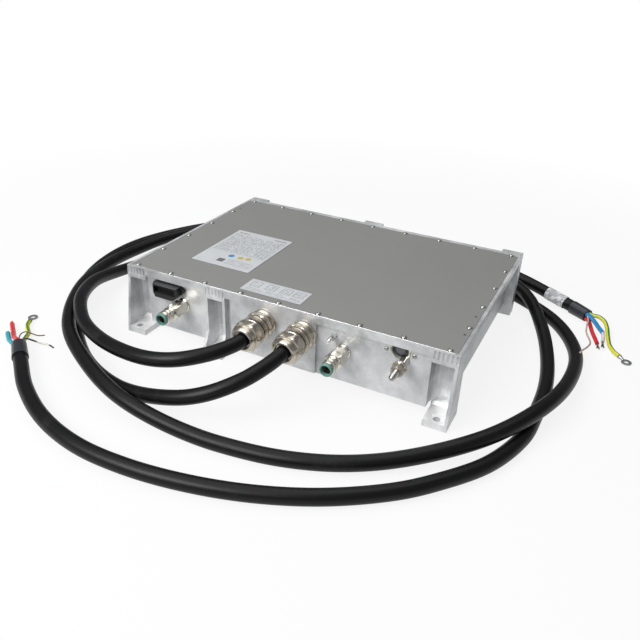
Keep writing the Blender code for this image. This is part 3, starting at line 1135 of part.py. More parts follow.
def lug(name, crimp, ring):
    """A ring lug on the end of a core: a flat ring with a crimped barrel, one piece of plated copper."""
    crimp, ring = Vector(crimp), Vector(ring)
    way = (ring - crimp).normalized()
    half = LUG_THICKNESS / 2
    eye = rod(name, ring - Vector((0, 0, half)), ring + Vector((0, 0, half)), LUG_RADIUS, 16)
    start = crimp + way * WALL_GAP * 3
    join(eye, rod(name + "_barrel", start, ring - way * LUG_RADIUS * 0.75, LUG_BARREL_RADIUS, SMALL_SIDES, 0.0012))
    cut(eye, rod(name + "_eye", ring - Vector((0, 0, 0.01)), ring + Vector((0, 0, 0.01)), LUG_HOLE, SMALL_SIDES))
    part(eye, STEEL)


def make_left_cores(end, way):
    """The cores and the ring lug at the left cable's free end."""
    core("left_core_red", end, way, 100, 0.0042, ((-0.328, -0.259, 0.0075), (-0.340, -0.250, 0.0045),
         (-0.352, -0.241, 0.0036), (-0.365, -0.231, 0.0036)), CORE_RADIUS, CORE_RED)
    core("left_core_blue", end, way, 220, 0.0042, ((-0.326, -0.267, 0.0052), (-0.338, -0.260, 0.0040),
         (-0.350, -0.251, 0.0036)), CORE_RADIUS, CORE_BLUE)
    core("left_core_earth", end, way, -20, 0.0042, ((-0.317, -0.250, 0.0065), (-0.326, -0.238, 0.0040),
         (-0.337, -0.230, 0.0034), (-0.3450, -0.2230, 0.0034), (-0.3500, -0.2150, 0.0034)),
         EARTH_RADIUS, CORE_EARTH)
    core("left_core_signal", end, way, 30, 0.0075, ((-0.3055, -0.2580, 0.0120), (-0.3025, -0.2510, 0.0060),
         (-0.2950, -0.2465, 0.0020), (-0.2840, -0.2440, 0.0016), (-0.2740, -0.2460, 0.0016)),
         SIGNAL_RADIUS, CORE_BEIGE)
    lug("left_ring_lug", (-0.3500, -0.2150, 0.0034), (-0.3575, -0.2025, 0.0014))


def make_right_cores(end, way):
    """The cores and the ring lug at the right cable's free end."""
    core("right_core_earth", end, way, 150, 0.0046, ((0.3400, 0.1830, 0.0130), (0.3490, 0.1790, 0.0105),
         (0.3550, 0.1650, 0.0080), (0.3592, 0.1440, 0.0050), (0.3640, 0.1230, 0.0034),
         (0.3715, 0.1080, 0.0034), (0.3780, 0.1010, 0.0034)), EARTH_RADIUS, CORE_EARTH)
    core("right_core_blue", end, way, 45, 0.0050, ((0.3370, 0.1700, 0.0105), (0.3430, 0.1620, 0.0080),
         (0.3515, 0.1490, 0.0065)), CORE_RADIUS, CORE_BLUE)
    core("right_core_red", end, way, -45, 0.0050, ((0.3335, 0.1640, 0.0050), (0.3385, 0.1480, 0.0036),
         (0.3440, 0.1320, 0.0036), (0.3480, 0.1200, 0.0036)), CORE_RADIUS, CORE_RED)
    lug("right_ring_lug", (0.3780, 0.1010, 0.0034), (0.3880, 0.0930, 0.0014))


def make_boards():
    """The power board with what is soldered to it, and the control board on four spacers."""
    low_x, low_y, high_x, high_y = POWER_BOARD
    board = box("power_board", (low_x, low_y, POWER_BOARD_Z), (high_x, high_y, POWER_BOARD_Z + BOARD_THICKNESS))
    modules = []
    width, depth = MODULE_SIZE
    for column in range(4):
        for row in range(2):
            x = low_x + 0.034 + column * 0.057
            y = -0.055 + row * 0.110
            modules.append(((x - width / 2, y - depth / 2, FLOOR_TOP + PLATE_GAP),
                            (x + width / 2, y + depth / 2, POWER_BOARD_Z + 0.0005)))
    join(board, boxes("power_modules", modules))
    part(board, BOARD_GREEN)
    low_x, low_y, high_x, high_y = CONTROL_BOARD
    control = box("control_board", (low_x, low_y, CONTROL_BOARD_Z),
                  (high_x, high_y, CONTROL_BOARD_Z + BOARD_THICKNESS))
    chips = [((low_x + 0.030 + i * 0.030, low_y + 0.040 + j * 0.040, CONTROL_BOARD_Z + 0.001),
              (low_x + 0.046 + i * 0.030, low_y + 0.056 + j * 0.040, CONTROL_BOARD_Z + 0.0036))
             for i in range(3) for j in range(2)]
    join(control, boxes("control_chips", chips))
    part(control, BOARD_GREEN)
    bottom = POWER_BOARD_Z + BOARD_THICKNESS + PLATE_GAP
    corners = [(x, y) for x in (low_x + 0.006, high_x - 0.006) for y in (low_y + 0.006, high_y - 0.006)]
    for number, (x, y) in enumerate(corners, start=1):
        spacer = hex_rod(f"board_spacer_{number}", (x, y, bottom), (x, y, CONTROL_BOARD_Z - PLATE_GAP), SPACER_HEX)
        part(spacer, NICKEL)


def make_magnetics():
    """Three transformers and three potted chokes on the case's floor, one of each for a phase."""
    width, depth, height = TRANSFORMER_SIZE
    base = FLOOR_TOP + PLATE_GAP
    for number, y in enumerate(MAGNETICS_ROWS, start=1):
        x = TRANSFORMER_X
        core_block = box(f"transformer_{number}", (x - width / 2, y - depth * 0.36, base),
                         (x + width / 2, y + depth * 0.36, base + height))
        winding = rod(f"transformer_winding_{number}", (x, y, base + 0.008), (x, y, base + height - 0.008),
                      TRANSFORMER_WINDING * 0.8, 16)
        join(core_block, winding)
        part(core_block, FERRITE)
        profile = [(CHOKE_HOLE, base + CHOKE_HEIGHT - 0.003), (CHOKE_HOLE + 0.003, base + CHOKE_HEIGHT),
                   (CHOKE_RADIUS - 0.003, base + CHOKE_HEIGHT), (CHOKE_RADIUS, base + CHOKE_HEIGHT - 0.003),
                   (CHOKE_RADIUS, base), (CHOKE_HOLE, base)]
        part(turned(f"choke_{number}", profile, (CHOKE_X, y, 0.0), Vector((0, 0, 1)), 16), POTTING)


def make_inner_blocks():
    """The DC link capacitor and the relay block on the power board, the terminal blocks behind the glands."""
    top = POWER_BOARD_Z + BOARD_THICKNESS + PLATE_GAP
    width, depth, height = CAPACITOR_SIZE
    part(box("dc_link_capacitor", (-0.150, 0.058, top), (-0.150 + width, 0.058 + depth, top + height)), TERMINAL_GREY)
    width, depth, height = RELAY_SIZE
    part(box("relay_block", (-0.010, -0.050, top), (-0.010 + width, -0.050 + depth, top + height)), BLACK_PLASTIC)
    width, depth, height = TERMINAL_SIZE
    base = FLOOR_TOP + PLATE_GAP
    for name, x in (("mains_terminal_block", LEFT_GLAND_X), ("battery_terminal_block", RIGHT_GLAND_X)):
        block = box(name, (x - width / 2, TERMINAL_Y - depth / 2, base), (x + width / 2, TERMINAL_Y + depth / 2, base + height))
        slots = [((x + (i - 1) * 0.009 - 0.003, TERMINAL_Y - depth, base + 0.010),
                  (x + (i - 1) * 0.009 + 0.003, TERMINAL_Y - depth / 2 + 0.008, base + 0.018)) for i in range(3)]
        cut(block, boxes(name + "_slots", slots))
        part(block, TERMINAL_GREY)


make_case()
make_cover()
make_jacket()
make_gland("left", LEFT_GLAND_X)
make_gland("right", RIGHT_GLAND_X)
make_fitting("coolant_inlet", INLET_X, INLET_Z)
make_fitting("coolant_outlet", OUTLET_X, OUTLET_Z)
make_ground_stud()
make_standoff()
make_vent()
make_connector()
make_small_screws()
make_labels()
make_cables()
make_tag()
make_left_cores(*make_cable_end("left", LEFT_CABLE, LEFT_CABLE_STEP, LEFT_BOOT_LENGTH))
make_right_cores(*make_cable_end("right", RIGHT_CABLE, RIGHT_CABLE_STEP, RIGHT_BOOT_LENGTH))
make_boards()
make_magnetics()
make_inner_blocks()
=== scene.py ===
"""The look of a liquid-cooled battery charger on a white studio table, with its cables round it."""
import math
import bmesh
import bpy
from mathutils import Matrix, Vector


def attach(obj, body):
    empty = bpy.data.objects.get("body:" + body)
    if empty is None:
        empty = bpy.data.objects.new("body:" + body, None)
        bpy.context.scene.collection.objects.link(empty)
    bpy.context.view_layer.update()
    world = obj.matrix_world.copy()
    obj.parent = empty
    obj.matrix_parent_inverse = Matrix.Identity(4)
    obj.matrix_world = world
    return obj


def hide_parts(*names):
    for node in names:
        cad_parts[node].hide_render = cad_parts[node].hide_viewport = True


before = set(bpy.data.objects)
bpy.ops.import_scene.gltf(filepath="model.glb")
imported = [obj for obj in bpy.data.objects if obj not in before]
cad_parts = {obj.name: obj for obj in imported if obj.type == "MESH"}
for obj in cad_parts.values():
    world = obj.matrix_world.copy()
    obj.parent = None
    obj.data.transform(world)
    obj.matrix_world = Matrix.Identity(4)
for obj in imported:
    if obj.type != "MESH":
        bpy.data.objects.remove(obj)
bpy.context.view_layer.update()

# The studio table
# A white table with a large soft box overhead, a second one in front on the left and a dim one on
# the right. The camera stands in front and to the right, and looks down. The table holds a soft
# shadow near the charger and turns pure white further out.
scene = bpy.context.scene
scene.view_settings.view_transform = "Standard"


class Value:
    """One number in a material, so that a sum of numbers reads as a sum."""

    def __init__(self, finish, socket):
        self.finish = finish
        self.socket = socket

    def __add__(self, other):
        return self.finish.maths("ADD", self, other)

    def __radd__(self, other):
        return self.finish.maths("ADD", other, self)

    def __sub__(self, other):
        return self.finish.maths("SUBTRACT", self, other)

    def __rsub__(self, other):
        return self.finish.maths("SUBTRACT", other, self)

    def __mul__(self, other):
        return self.finish.maths("MULTIPLY", self, other)

    def __rmul__(self, other):
        return self.finish.maths("MULTIPLY", other, self)


class Finish:
    """A material that is put together node by node round one Principled shader."""

    def __init__(self, name, colour, metallic, roughness):
        self.material = bpy.data.materials.new(name)
        self.material.use_nodes = True
        self.tree = self.material.node_tree
        self.shader = self.tree.nodes["Principled BSDF"]
        self.set("Base Color", (*colour, 1.0))
        self.set("Metallic", metallic)
        self.set("Roughness", roughness)

    def node(self, kind, settings=None, sockets=None, out=0):
        """Adds a node: first its settings, then the values or links of its sockets."""
        made = self.tree.nodes.new(kind)
        for key, value in (settings or {}).items():
            setattr(made, key, value)
        for key, value in (sockets or {}).items():
            self.join(made.inputs[key], value)
        return Value(self, made.outputs[out])

    def join(self, socket, value):
        """Links a value of the material to a socket, or sets a plain number or colour on it."""
        if isinstance(value, Value):
            self.tree.links.new(value.socket, socket)
        else:
            socket.default_value = value

    def set(self, name, value):
        self.join(self.shader.inputs[name], value)

    def maths(self, operation, first, second=0.0):
        return self.node("ShaderNodeMath", {"operation": operation}, {0: first, 1: second})

    def mix(self, share, first, second):
        """A colour between two colours."""
        first, second = (c if isinstance(c, Value) else (*c, 1.0) for c in (first, second))
        return self.node("ShaderNodeMix", {"data_type": "RGBA"}, {0: share, 6: first, 7: second}, 2)

    def between(self, value, low, high):
        """0 below low, 1 above high, and even in between."""
        return self.node("ShaderNodeMapRange", {"clamp": True},
                         {"Value": value, "From Min": low, "From Max": high})

    def place(self):
        """The place on the piece in metres, which is also its place on the table."""
        return self.node("ShaderNodeTexCoord", out="Object")

    def noise(self, where, scale, detail=3.0, roughness=0.5):
        return self.node("ShaderNodeTexNoise", {},
                         {"Vector": where, "Scale": scale, "Detail": detail, "Roughness": roughness})

    def stretched(self, where, scale):
        """The place scaled apart along x, y and z, for a pattern that is longer one way."""
        return self.node("ShaderNodeVectorMath", {"operation": "MULTIPLY"}, {0: where, 1: scale})

    def bump(self, height, strength, distance):
        sockets = {"Height": height, "Strength": strength, "Distance": distance}
        self.set("Normal", self.node("ShaderNodeBump", {}, sockets))


EYE_PLACE = (0.344163, -0.720896, 0.460487)
EYE_TURN_DEGREES = (60.4768, -1.8668, 26.9280)
eye = bpy.data.cameras.new("eye")
eye.lens = 37.0236
eye.sensor_width = 36.0
eye.clip_start = 0.02
camera = bpy.data.objects.new("eye", eye)
camera.location = EYE_PLACE
camera.rotation_euler = [math.radians(angle) for angle in EYE_TURN_DEGREES]
scene.collection.objects.link(camera)
scene.camera = camera

world = bpy.data.worlds.new("studio")
scene.world = world
world.use_nodes = True
air = world.node_tree
air.nodes["Background"].inputs["Color"].default_value = (0.80, 0.82, 0.86, 1.0)
air.nodes["Background"].inputs["Strength"].default_value = 0.22
white_air = air.nodes.new("ShaderNodeBackground")
white_air.inputs["Color"].default_value = (1.0, 1.0, 1.0, 1.0)
air_rays = air.nodes.new("ShaderNodeLightPath")
air_mix = air.nodes.new("ShaderNodeMixShader")
air.links.new(air_rays.outputs["Is Camera Ray"], air_mix.inputs[0])
air.links.new(air.nodes["Background"].outputs[0], air_mix.inputs[1])
air.links.new(white_air.outputs[0], air_mix.inputs[2])
air.links.new(air_mix.outputs[0], air.nodes["World Output"].inputs["Surface"])


def lamp(name, place, target, width, depth, power):
    """A soft box that faces its target."""
    box = bpy.data.lights.new(name, "AREA")
    box.shape = "RECTANGLE"
    box.size = width
    box.size_y = depth
    box.energy = power
    made = bpy.data.objects.new(name, box)
    made.location = place
    made.rotation_euler = (Vector(target) - Vector(place)).to_track_quat("-Z", "Y").to_euler()
    scene.collection.objects.link(made)


lamp("soft_box_above", (-0.3, 0.1, 1.8), (0.0, 0.0, 0.05), 2.4, 2.0, 25.0)
lamp("soft_box_front", (-0.7, -1.7, 1.5), (0.0, -0.1, 0.05), 1.5, 1.1, 55.0)
lamp("soft_box_right", (1.9, -0.3, 0.9), (0.1, 0.0, 0.05), 0.7, 0.9, 0.4)

SHADOW_SHARE = 0.14
SHADOW_FADES_FROM = 0.55
SHADOW_GONE_AT = 1.10
WHITE = Finish("table_white", (0.66, 0.66, 0.66), 0.0, 0.9)
glow = WHITE.node("ShaderNodeEmission", {}, {"Color": (1.0, 1.0, 1.0, 1.0), "Strength": 1.0})
rays = WHITE.node("ShaderNodeLightPath")
for kind in ("Is Glossy Ray", "Is Transmission Ray"):
    rays_of_kind = Value(WHITE, WHITE.tree.nodes["Light Path"].outputs[kind])
    rays = WHITE.maths("MAXIMUM", rays, rays_of_kind)
away = WHITE.node("ShaderNodeVectorMath", {"operation": "LENGTH"}, {0: WHITE.place()}, "Value")
far = WHITE.between(away, SHADOW_FADES_FROM, SHADOW_GONE_AT)
share = rays * (1.0 - SHADOW_SHARE + far * SHADOW_SHARE)
surface = WHITE.node("ShaderNodeMixShader", {}, {0: share, 1: Value(WHITE, WHITE.shader.outputs[0]), 2: glow})
WHITE.join(WHITE.tree.nodes["Material Output"].inputs["Surface"], surface)
TABLE_REACH = 40.0
TABLE_TOP = -0.0006
corners = [(x * TABLE_REACH, y * TABLE_REACH, TABLE_TOP) for x, y in ((-1, -1), (1, -1), (1, 1), (-1, 1))]
table_mesh = bpy.data.meshes.new("table")
table_mesh.from_pydata(corners, [], [(0, 1, 2, 3)])
table_mesh.materials.append(WHITE.material)
table = bpy.data.objects.new("table", table_mesh)
scene.collection.objects.link(table)

# The two cables
# Each is a round rubber cable, 17.5 mm thick, that comes straight out of its gland and lies on the
# table in long loose loops round the case. They pass over and under each other in low humps.
SHIFT = Vector((0.0, 0.0175, 0.0))
CABLE_RADIUS = 0.00875
LIFT = 0.0002
STEPS_A_SPAN = 24
LEFT_ROUTE = (
    (-0.0160, -0.1955, 0.0660), (-0.0160, -0.2015, 0.0660), (-0.0210, -0.2150, 0.0650),
    (-0.0340, -0.2330, 0.0620), (-0.0650, -0.2560, 0.0565), (-0.1030, -0.2640, 0.0510),
    (-0.1660, -0.2550, 0.0450), (-0.2260, -0.2300, 0.0410), (-0.2610, -0.2040, 0.0405),
    (-0.2900, -0.1720, 0.0395), (-0.3200, -0.1160, 0.0315), (-0.3340, -0.0540, 0.0175),
    (-0.3340, -0.0100, 0.0110), (-0.3240, 0.0570, 0.0091), (-0.3090, 0.0990, 0.0095),
    (-0.2710, 0.1520, 0.0095), (-0.2360, 0.1780, 0.0091), (-0.1750, 0.2000, 0.0091),
    (-0.0420, 0.2080, 0.0095), (0.0470, 0.2150, 0.0155), (0.1140, 0.2200, 0.0235),
    (0.1780, 0.2110, 0.0295), (0.2150, 0.1920, 0.0295), (0.2450, 0.1610, 0.0255),
    (0.2750, 0.1020, 0.0165), (0.2950, 0.0370, 0.0105), (0.3050, -0.0290, 0.0091),
    (0.3050, -0.0960, 0.0091), (0.3010, -0.1400, 0.0091), (0.2790, -0.2000, 0.0095),
    (0.2390, -0.2530, 0.0095), (0.2070, -0.2840, 0.0091), (0.1520, -0.3220, 0.0091),
    (0.0920, -0.3500, 0.0091), (0.0290, -0.3690, 0.0095), (-0.0370, -0.3790, 0.0095),
    (-0.1030, -0.3780, 0.0091), (-0.1670, -0.3620, 0.0091), (-0.2260, -0.3320, 0.0095),
    (-0.2743, -0.2958, 0.0100), (-0.2790, -0.2920, 0.0100))
RIGHT_ROUTE = (
    (0.0380, -0.1955, 0.0660), (0.0380, -0.2015, 0.0660), (0.0355, -0.2160, 0.0640),
    (0.0280, -0.2360, 0.0595), (0.0180, -0.2530, 0.0545), (-0.0100, -0.2760, 0.0425),
    (-0.0470, -0.2870, 0.0305), (-0.1280, -0.2820, 0.0115), (-0.2050, -0.2560, 0.0095),
    (-0.2900, -0.1900, 0.0095), (-0.3480, -0.1230, 0.0091), (-0.3840, -0.0420, 0.0100),
    (-0.3920, 0.0430, 0.0100), (-0.3680, 0.1280, 0.0091), (-0.3180, 0.1980, 0.0100),
    (-0.2390, 0.2350, 0.0095), (0.0230, 0.2470, 0.0091), (0.1310, 0.2320, 0.0100),
    (0.2140, 0.1980, 0.0100), (0.2850, 0.1440, 0.0100), (0.3240, 0.0670, 0.0135),
    (0.3290, -0.0220, 0.0215), (0.3090, -0.1090, 0.0285), (0.2640, -0.1830, 0.0225),
    (0.1830, -0.2520, 0.0120), (0.1050, -0.2900, 0.0095), (0.0000, -0.3080, 0.0095),
    (-0.1040, -0.3050, 0.0195), (-0.1860, -0.2750, 0.0255), (-0.2630, -0.2250, 0.0280),
    (-0.3290, -0.1380, 0.0265), (-0.3620, -0.0550, 0.0195), (-0.3720, 0.0310, 0.0130),
    (-0.3530, 0.1170, 0.0135), (-0.3020, 0.1840, 0.0125), (-0.2240, 0.2180, 0.0095),
    (-0.1150, 0.2280, 0.0130), (0.0090, 0.2400, 0.0265), (0.1110, 0.2550, 0.0275),
    (0.2080, 0.2420, 0.0200), (0.2975, 0.2040, 0.0107), (0.3030, 0.2000, 0.0105))


def smooth_line(route, step, lead):
    """Even points on one smooth curve through the route, which it enters from the lead point. They
    are moved from the case's own middle to the shared frame.
    """
    points = [Vector(p) for p in route]
    points = [Vector(lead)] + points + [2 * points[-1] - points[-2]]
    dense = []
    for a, b, c, d in zip(points, points[1:], points[2:], points[3:]):
        t1 = math.sqrt((b - a).length)
        t2 = t1 + math.sqrt((c - b).length)
        t3 = t2 + math.sqrt((d - c).length)
        for k in range(STEPS_A_SPAN):
            t = t1 + (t2 - t1) * k / STEPS_A_SPAN
            share = (t - t1) / (t2 - t1)
            ab, bc, cd = a.lerp(b, t / t1), b.lerp(c, share), c.lerp(d, (t - t2) / (t3 - t2))
            abc, bcd = ab.lerp(bc, t / t2), bc.lerp(cd, (t - t1) / (t3 - t1))
            dense.append(abc.lerp(bcd, share))
    dense.append(points[-2])
    lengths = [0.0]
    for a, b in zip(dense, dense[1:]):
        lengths.append(lengths[-1] + (b - a).length)
    count = max(2, round(lengths[-1] / step))
    result, index = [], 0
    for k in range(count + 1):
        target = lengths[-1] * k / count
        while index < len(lengths) - 2 and lengths[index + 1] < target:
            index += 1
        share = (target - lengths[index]) / (lengths[index + 1] - lengths[index])
        result.append(dense[index].lerp(dense[index + 1], share) + SHIFT)
    return result


def length_of(points):
    return sum((b - a).length for a, b in zip(points, points[1:]))


class Tree:
    """A geometry tree that is built node by node, with named inputs."""

    def __init__(self, name, inputs):
        self.tree = bpy.data.node_groups.new(name, "GeometryNodeTree")
        face = self.tree.interface
        face.new_socket("Geometry", in_out="INPUT", socket_type="NodeSocketGeometry")
        face.new_socket("Geometry", in_out="OUTPUT", socket_type="NodeSocketGeometry")
        self.keys = {}
        for label, kind in inputs.items():
            made = face.new_socket(label, in_out="INPUT", socket_type="NodeSocket" + kind)
            self.keys[label] = made.identifier
        self.start = self.tree.nodes.new("NodeGroupInput")
        self.end = self.tree.nodes.new("NodeGroupOutput")

    def given(self, label):
        return self.start.outputs[label]

    def node(self, kind, settings=None, sockets=None, captures=None):
        made = self.tree.nodes.new(kind)
        for key, value in (settings or {}).items():
            setattr(made, key, value)
        for label, source in (captures or {}).items():
            made.capture_items.new("FLOAT", label)
            self.tree.links.new(source, made.inputs[label])
        for key, value in (sockets or {}).items():
            if isinstance(value, bpy.types.NodeSocket):
                self.tree.links.new(value, made.inputs[key])
            else:
                made.inputs[key].default_value = value
        return made

    def finish_with(self, geometry, material):
        """Ends the tree: real geometry, with its material."""
        real = self.node("GeometryNodeRealizeInstances", sockets={0: geometry})
        coated = self.node("GeometryNodeSetMaterial", sockets={0: real.outputs[0], "Material": material})
        self.tree.links.new(coated.outputs[0], self.end.inputs[0])


def grown(name, seed, tree, values):
    """Runs a geometry tree on a seed mesh and keeps the result as a plain mesh."""
    holder = bpy.data.objects.new(name + "_seed", seed)
    scene.collection.objects.link(holder)
    step = holder.modifiers.new("grow", "NODES")
    step.node_group = tree.tree
    for label, value in values.items():
        step[tree.keys[label]] = value
    bpy.context.view_layer.update()
    mesh = bpy.data.meshes.new_from_object(holder.evaluated_get(bpy.context.evaluated_depsgraph_get()))
    mesh.name = name
    bpy.data.objects.remove(holder, do_unlink=True)
    made = bpy.data.objects.new(name, mesh)
    scene.collection.objects.link(made)
    return made


def sleeve_tree():
    """A round sleeve along a line. It keeps its place along and round the line for the material."""
    tree = Tree("sleeve_along_line", {"Radius": "Float", "Sides": "Int", "Finish": "Material"})
    line = tree.node("GeometryNodeMeshToCurve", sockets={0: tree.given("Geometry")})
    straight = tree.node("GeometryNodeSetCurveNormal", sockets={0: line.outputs[0]})
    along = tree.node("GeometryNodeSplineParameter")
    marked = tree.node("GeometryNodeCaptureAttribute", sockets={0: straight.outputs[0]},
                       captures={"run": along.outputs["Length"]})
    ring = tree.node("GeometryNodeCurvePrimitiveCircle",
                     sockets={"Resolution": tree.given("Sides"), "Radius": tree.given("Radius")})
    turn = tree.node("GeometryNodeSplineParameter")
    ring_marked = tree.node("GeometryNodeCaptureAttribute", sockets={0: ring.outputs[0]},
                            captures={"turn": turn.outputs["Factor"]})
    skin = tree.node("GeometryNodeCurveToMesh",
                     sockets={0: marked.outputs[0], "Profile Curve": ring_marked.outputs[0],
                              "Fill Caps": True})
    angle = tree.node("ShaderNodeMath", {"operation": "MULTIPLY"},
                      {0: ring_marked.outputs["turn"], 1: math.tau})
    last = skin.outputs[0]
    for label, operation in (("round_a", "SINE"), ("round_b", "COSINE")):
        wave = tree.node("ShaderNodeMath", {"operation": operation}, {0: angle.outputs[0]})
        kept = tree.node("GeometryNodeStoreNamedAttribute", {"data_type": "FLOAT", "domain": "POINT"},
                         {0: last, "Name": label, "Value": wave.outputs[0]})
        last = kept.outputs[0]
    kept = tree.node("GeometryNodeStoreNamedAttribute", {"data_type": "FLOAT", "domain": "POINT"},
                     {0: last, "Name": "run", "Value": marked.outputs["run"]})
    smooth = tree.node("GeometryNodeSetShadeSmooth", sockets={0: kept.outputs[0]})
    tree.finish_with(smooth.outputs[0], tree.given("Finish"))
    return tree


def sleeve(name, points, radius, sides, finish):
    """A round sleeve along points, such as a cable's jacket or a core's."""
    seed = bpy.data.meshes.new(name + "_line")
    seed.from_pydata(points, [(i, i + 1) for i in range(len(points) - 1)], [])
    return grown(name, seed, SLEEVE, {"Radius": radius, "Sides": sides, "Finish": finish.material})


def on_sleeve(finish, along, across):
    """The place on a sleeve's skin: round it and along it, at two scales."""
    marks = [finish.node("ShaderNodeAttribute", {"attribute_name": label}, out="Fac")
             for label in ("round_a", "round_b", "run")]
    return finish.node("ShaderNodeCombineXYZ", {},
                       {0: marks[0] * across, 1: marks[1] * across, 2: marks[2] * along})


def rubber_jacket():
    """Satin black rubber: faint lengthways drawing lines, dusty scuffs and a soft grain."""
    finish = Finish("cable_jacket", (0.006, 0.006, 0.007), 0.0, 0.40)
    lines = finish.noise(on_sleeve(finish, 6.0, 7.0), 1.0, 3.0)
    grain = finish.noise(finish.place(), 900.0, 2.0)
    scuffs = finish.between(finish.noise(finish.place(), 24.0, 5.0, 0.62), 0.56, 0.74)
    finish.set("Base Color", finish.mix(scuffs * 0.55 + lines * 0.12, (0.0030, 0.0030, 0.0034),
                                        (0.015, 0.015, 0.016)))
    finish.set("Roughness", 0.34 + lines * 0.10 + scuffs * 0.14)
    finish.set("Specular IOR Level", 0.22)
    finish.bump(lines * 0.55 + grain * 0.16, 0.25, 0.0006)
    return finish


SLEEVE = sleeve_tree()
JACKET = rubber_jacket()


def cable(side, route):
    """One cable along its route. Returns it with the points it follows."""
    bends = smooth_line(route[1:-1], 0.006, route[0])
    points = [Vector(route[0]) + SHIFT, *bends, Vector(route[-1]) + SHIFT]
    for point in points:
        point.z = max(point.z, CABLE_RADIUS + LIFT)
    made = sleeve(side + "_cable_jacket", points, CABLE_RADIUS, 32, JACKET)
    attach(made, "root")
    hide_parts(side + "_cable")
    return made, points


left_cable, left_points = cable("left", LEFT_ROUTE)
right_cable, right_points = cable("right", RIGHT_ROUTE)

# The machined case
# One aluminium casting, milled all over and bead blasted, with a thin bare rim round the cover.
# Its edges are broken by hand, so that each one catches a narrow line of light.
WALL = -0.1295
PAD = -0.1325
BROKEN_EDGE = 0.0004
FLAT_FACE_AREA = 0.00003
FEET_BELOW = 0.030


def metal(name, colour, roughness, grain=260.0, marks=0.10, dull=0.0):
    """Bare or plated metal: a fine grain, soft cloudy patches and a few brighter rubbed spots."""
    finish = Finish(name, colour, 1.0, roughness)
    fine = finish.noise(finish.place(), grain * 4.0, 2.0)
    clouds = finish.noise(finish.place(), grain * 0.16, 4.0, 0.6)
    rubbed = finish.between(finish.noise(finish.place(), grain * 0.4, 5.0, 0.7), 0.58, 0.72)
    dark = tuple(c * (0.80 - dull) for c in colour)
    light = tuple(min(1.0, c * 1.12) for c in colour)
    finish.set("Base Color", finish.mix(clouds * 0.7 + rubbed * 0.3, dark, light))
    finish.set("Roughness", roughness - 0.05 + clouds * marks + fine * 0.06)
    finish.bump(fine * 0.5 + rubbed * 0.3, 0.12, 0.0003)
    return finish


def milled_aluminium():
    """Milled faces: faint cutter lines, cloudy handling marks, small dents, and painted light that makes the
    up-facing foot tops near white.
    """
    finish = Finish("milled_aluminium", (0.60, 0.61, 0.62), 0.55, 0.42)
    lines = finish.noise(finish.stretched(finish.place(), (9.0, 9.0, 420.0)), 1.0, 3.0)
    clouds = finish.noise(finish.place(), 26.0, 5.0, 0.62)
    dents = finish.between(finish.noise(finish.place(), 190.0, 3.0, 0.6), 0.66, 0.74)
    shade = finish.between(clouds, 0.30, 0.72)
    tone = finish.mix(shade, (0.40, 0.41, 0.42), (0.78, 0.785, 0.79))
    worn = finish.mix(dents * 0.6, tone, (0.90, 0.91, 0.92))
    # Painted light: the foot tops are painted near white, as if lit by the lamp above.
    foot_top_light = finish.node("ShaderNodeAttribute", {"attribute_name": "painted_light_on_foot_tops"}, out="Fac")
    finish.set("Base Color", finish.mix(foot_top_light, worn, (0.95, 0.95, 0.94)))
    finish.set("Roughness", 0.34 + clouds * 0.16 + lines * 0.06)
    finish.bump(lines * 0.35 + clouds * 0.5 + dents * 0.4, 0.16, 0.0005)
    return finish


def dressed(name, mesh, finish, node):
    """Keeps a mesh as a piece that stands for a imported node, or for none."""
    bmesh.ops.recalc_face_normals(mesh, faces=mesh.faces)
    data = bpy.data.meshes.new(name)
    mesh.to_mesh(data)
    mesh.free()
    data.materials.append(finish.material)
    data.shade_smooth()
    data.set_sharp_from_angle(angle=math.radians(30.0))
    for face in data.polygons:
        if face.area > FLAT_FACE_AREA:
            face.use_smooth = False
    made = bpy.data.objects.new(name, data)
    scene.collection.objects.link(made)
    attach(made, "root")
    if node:
        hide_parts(node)
    return made


def eased(node, width, finish):
    """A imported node's own shape with its edges broken."""
    mesh = bmesh.new()
    mesh.from_mesh(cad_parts[node].data)
    bmesh.ops.remove_doubles(mesh, verts=mesh.verts, dist=0.00001)
    bmesh.ops.dissolve_limit(mesh, angle_limit=math.radians(1.0), verts=mesh.verts, edges=mesh.edges)
    corner = math.radians(38.0)
    edges = [e for e in mesh.edges if len(e.link_faces) == 2 and e.calc_face_angle(0.0) > corner]
    bmesh.ops.bevel(mesh, geom=edges, offset=width, segments=2, profile=0.5, affect="EDGES",
                    clamp_overlap=True, miter_outer="SHARP")
    bmesh.ops.triangulate(mesh, faces=[f for f in mesh.faces if len(f.verts) > 4])
    return dressed(node + "_eased", mesh, finish, node)


ALUMINIUM = milled_aluminium()
case = eased("case", BROKEN_EDGE, ALUMINIUM)
# Painted light: faces low on the case that point upwards, the foot tops, are marked to be painted near white,
# as if lit from above.
painted_light_on_foot_tops = case.data.attributes.new("painted_light_on_foot_tops", "FLOAT", "FACE")
for face in case.data.polygons:
    on_a_foot = face.normal.z > 0.5 and face.center.z < FEET_BELOW
    painted_light_on_foot_tops.data[face.index].value = 1.0 if on_a_foot else 0.0
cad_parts["jacket_plate"].data.materials[0] = ALUMINIUM.material

# The cover plate and its screws
# A grey sheet of metal that drops into the case's rim, with a thin bright cut edge. Its dome head
# screws are zinc plated and have a small socket, each turned its own way. Three dowel holes near
# its edge are not cut but are flat black discs of painted shade.
COVER_X = 0.2197
COVER_Y = 0.1465
COVER_LOW = 0.0903
COVER_TOP = 0.0930
COVER_CORNER = 0.003
SCREW_X = COVER_X - 0.0045
SCREW_Y = COVER_Y - 0.0036
END_SCREW_X = COVER_X - 0.0092
SCREWS_ALONG = 9
SCREWS_UP = 4


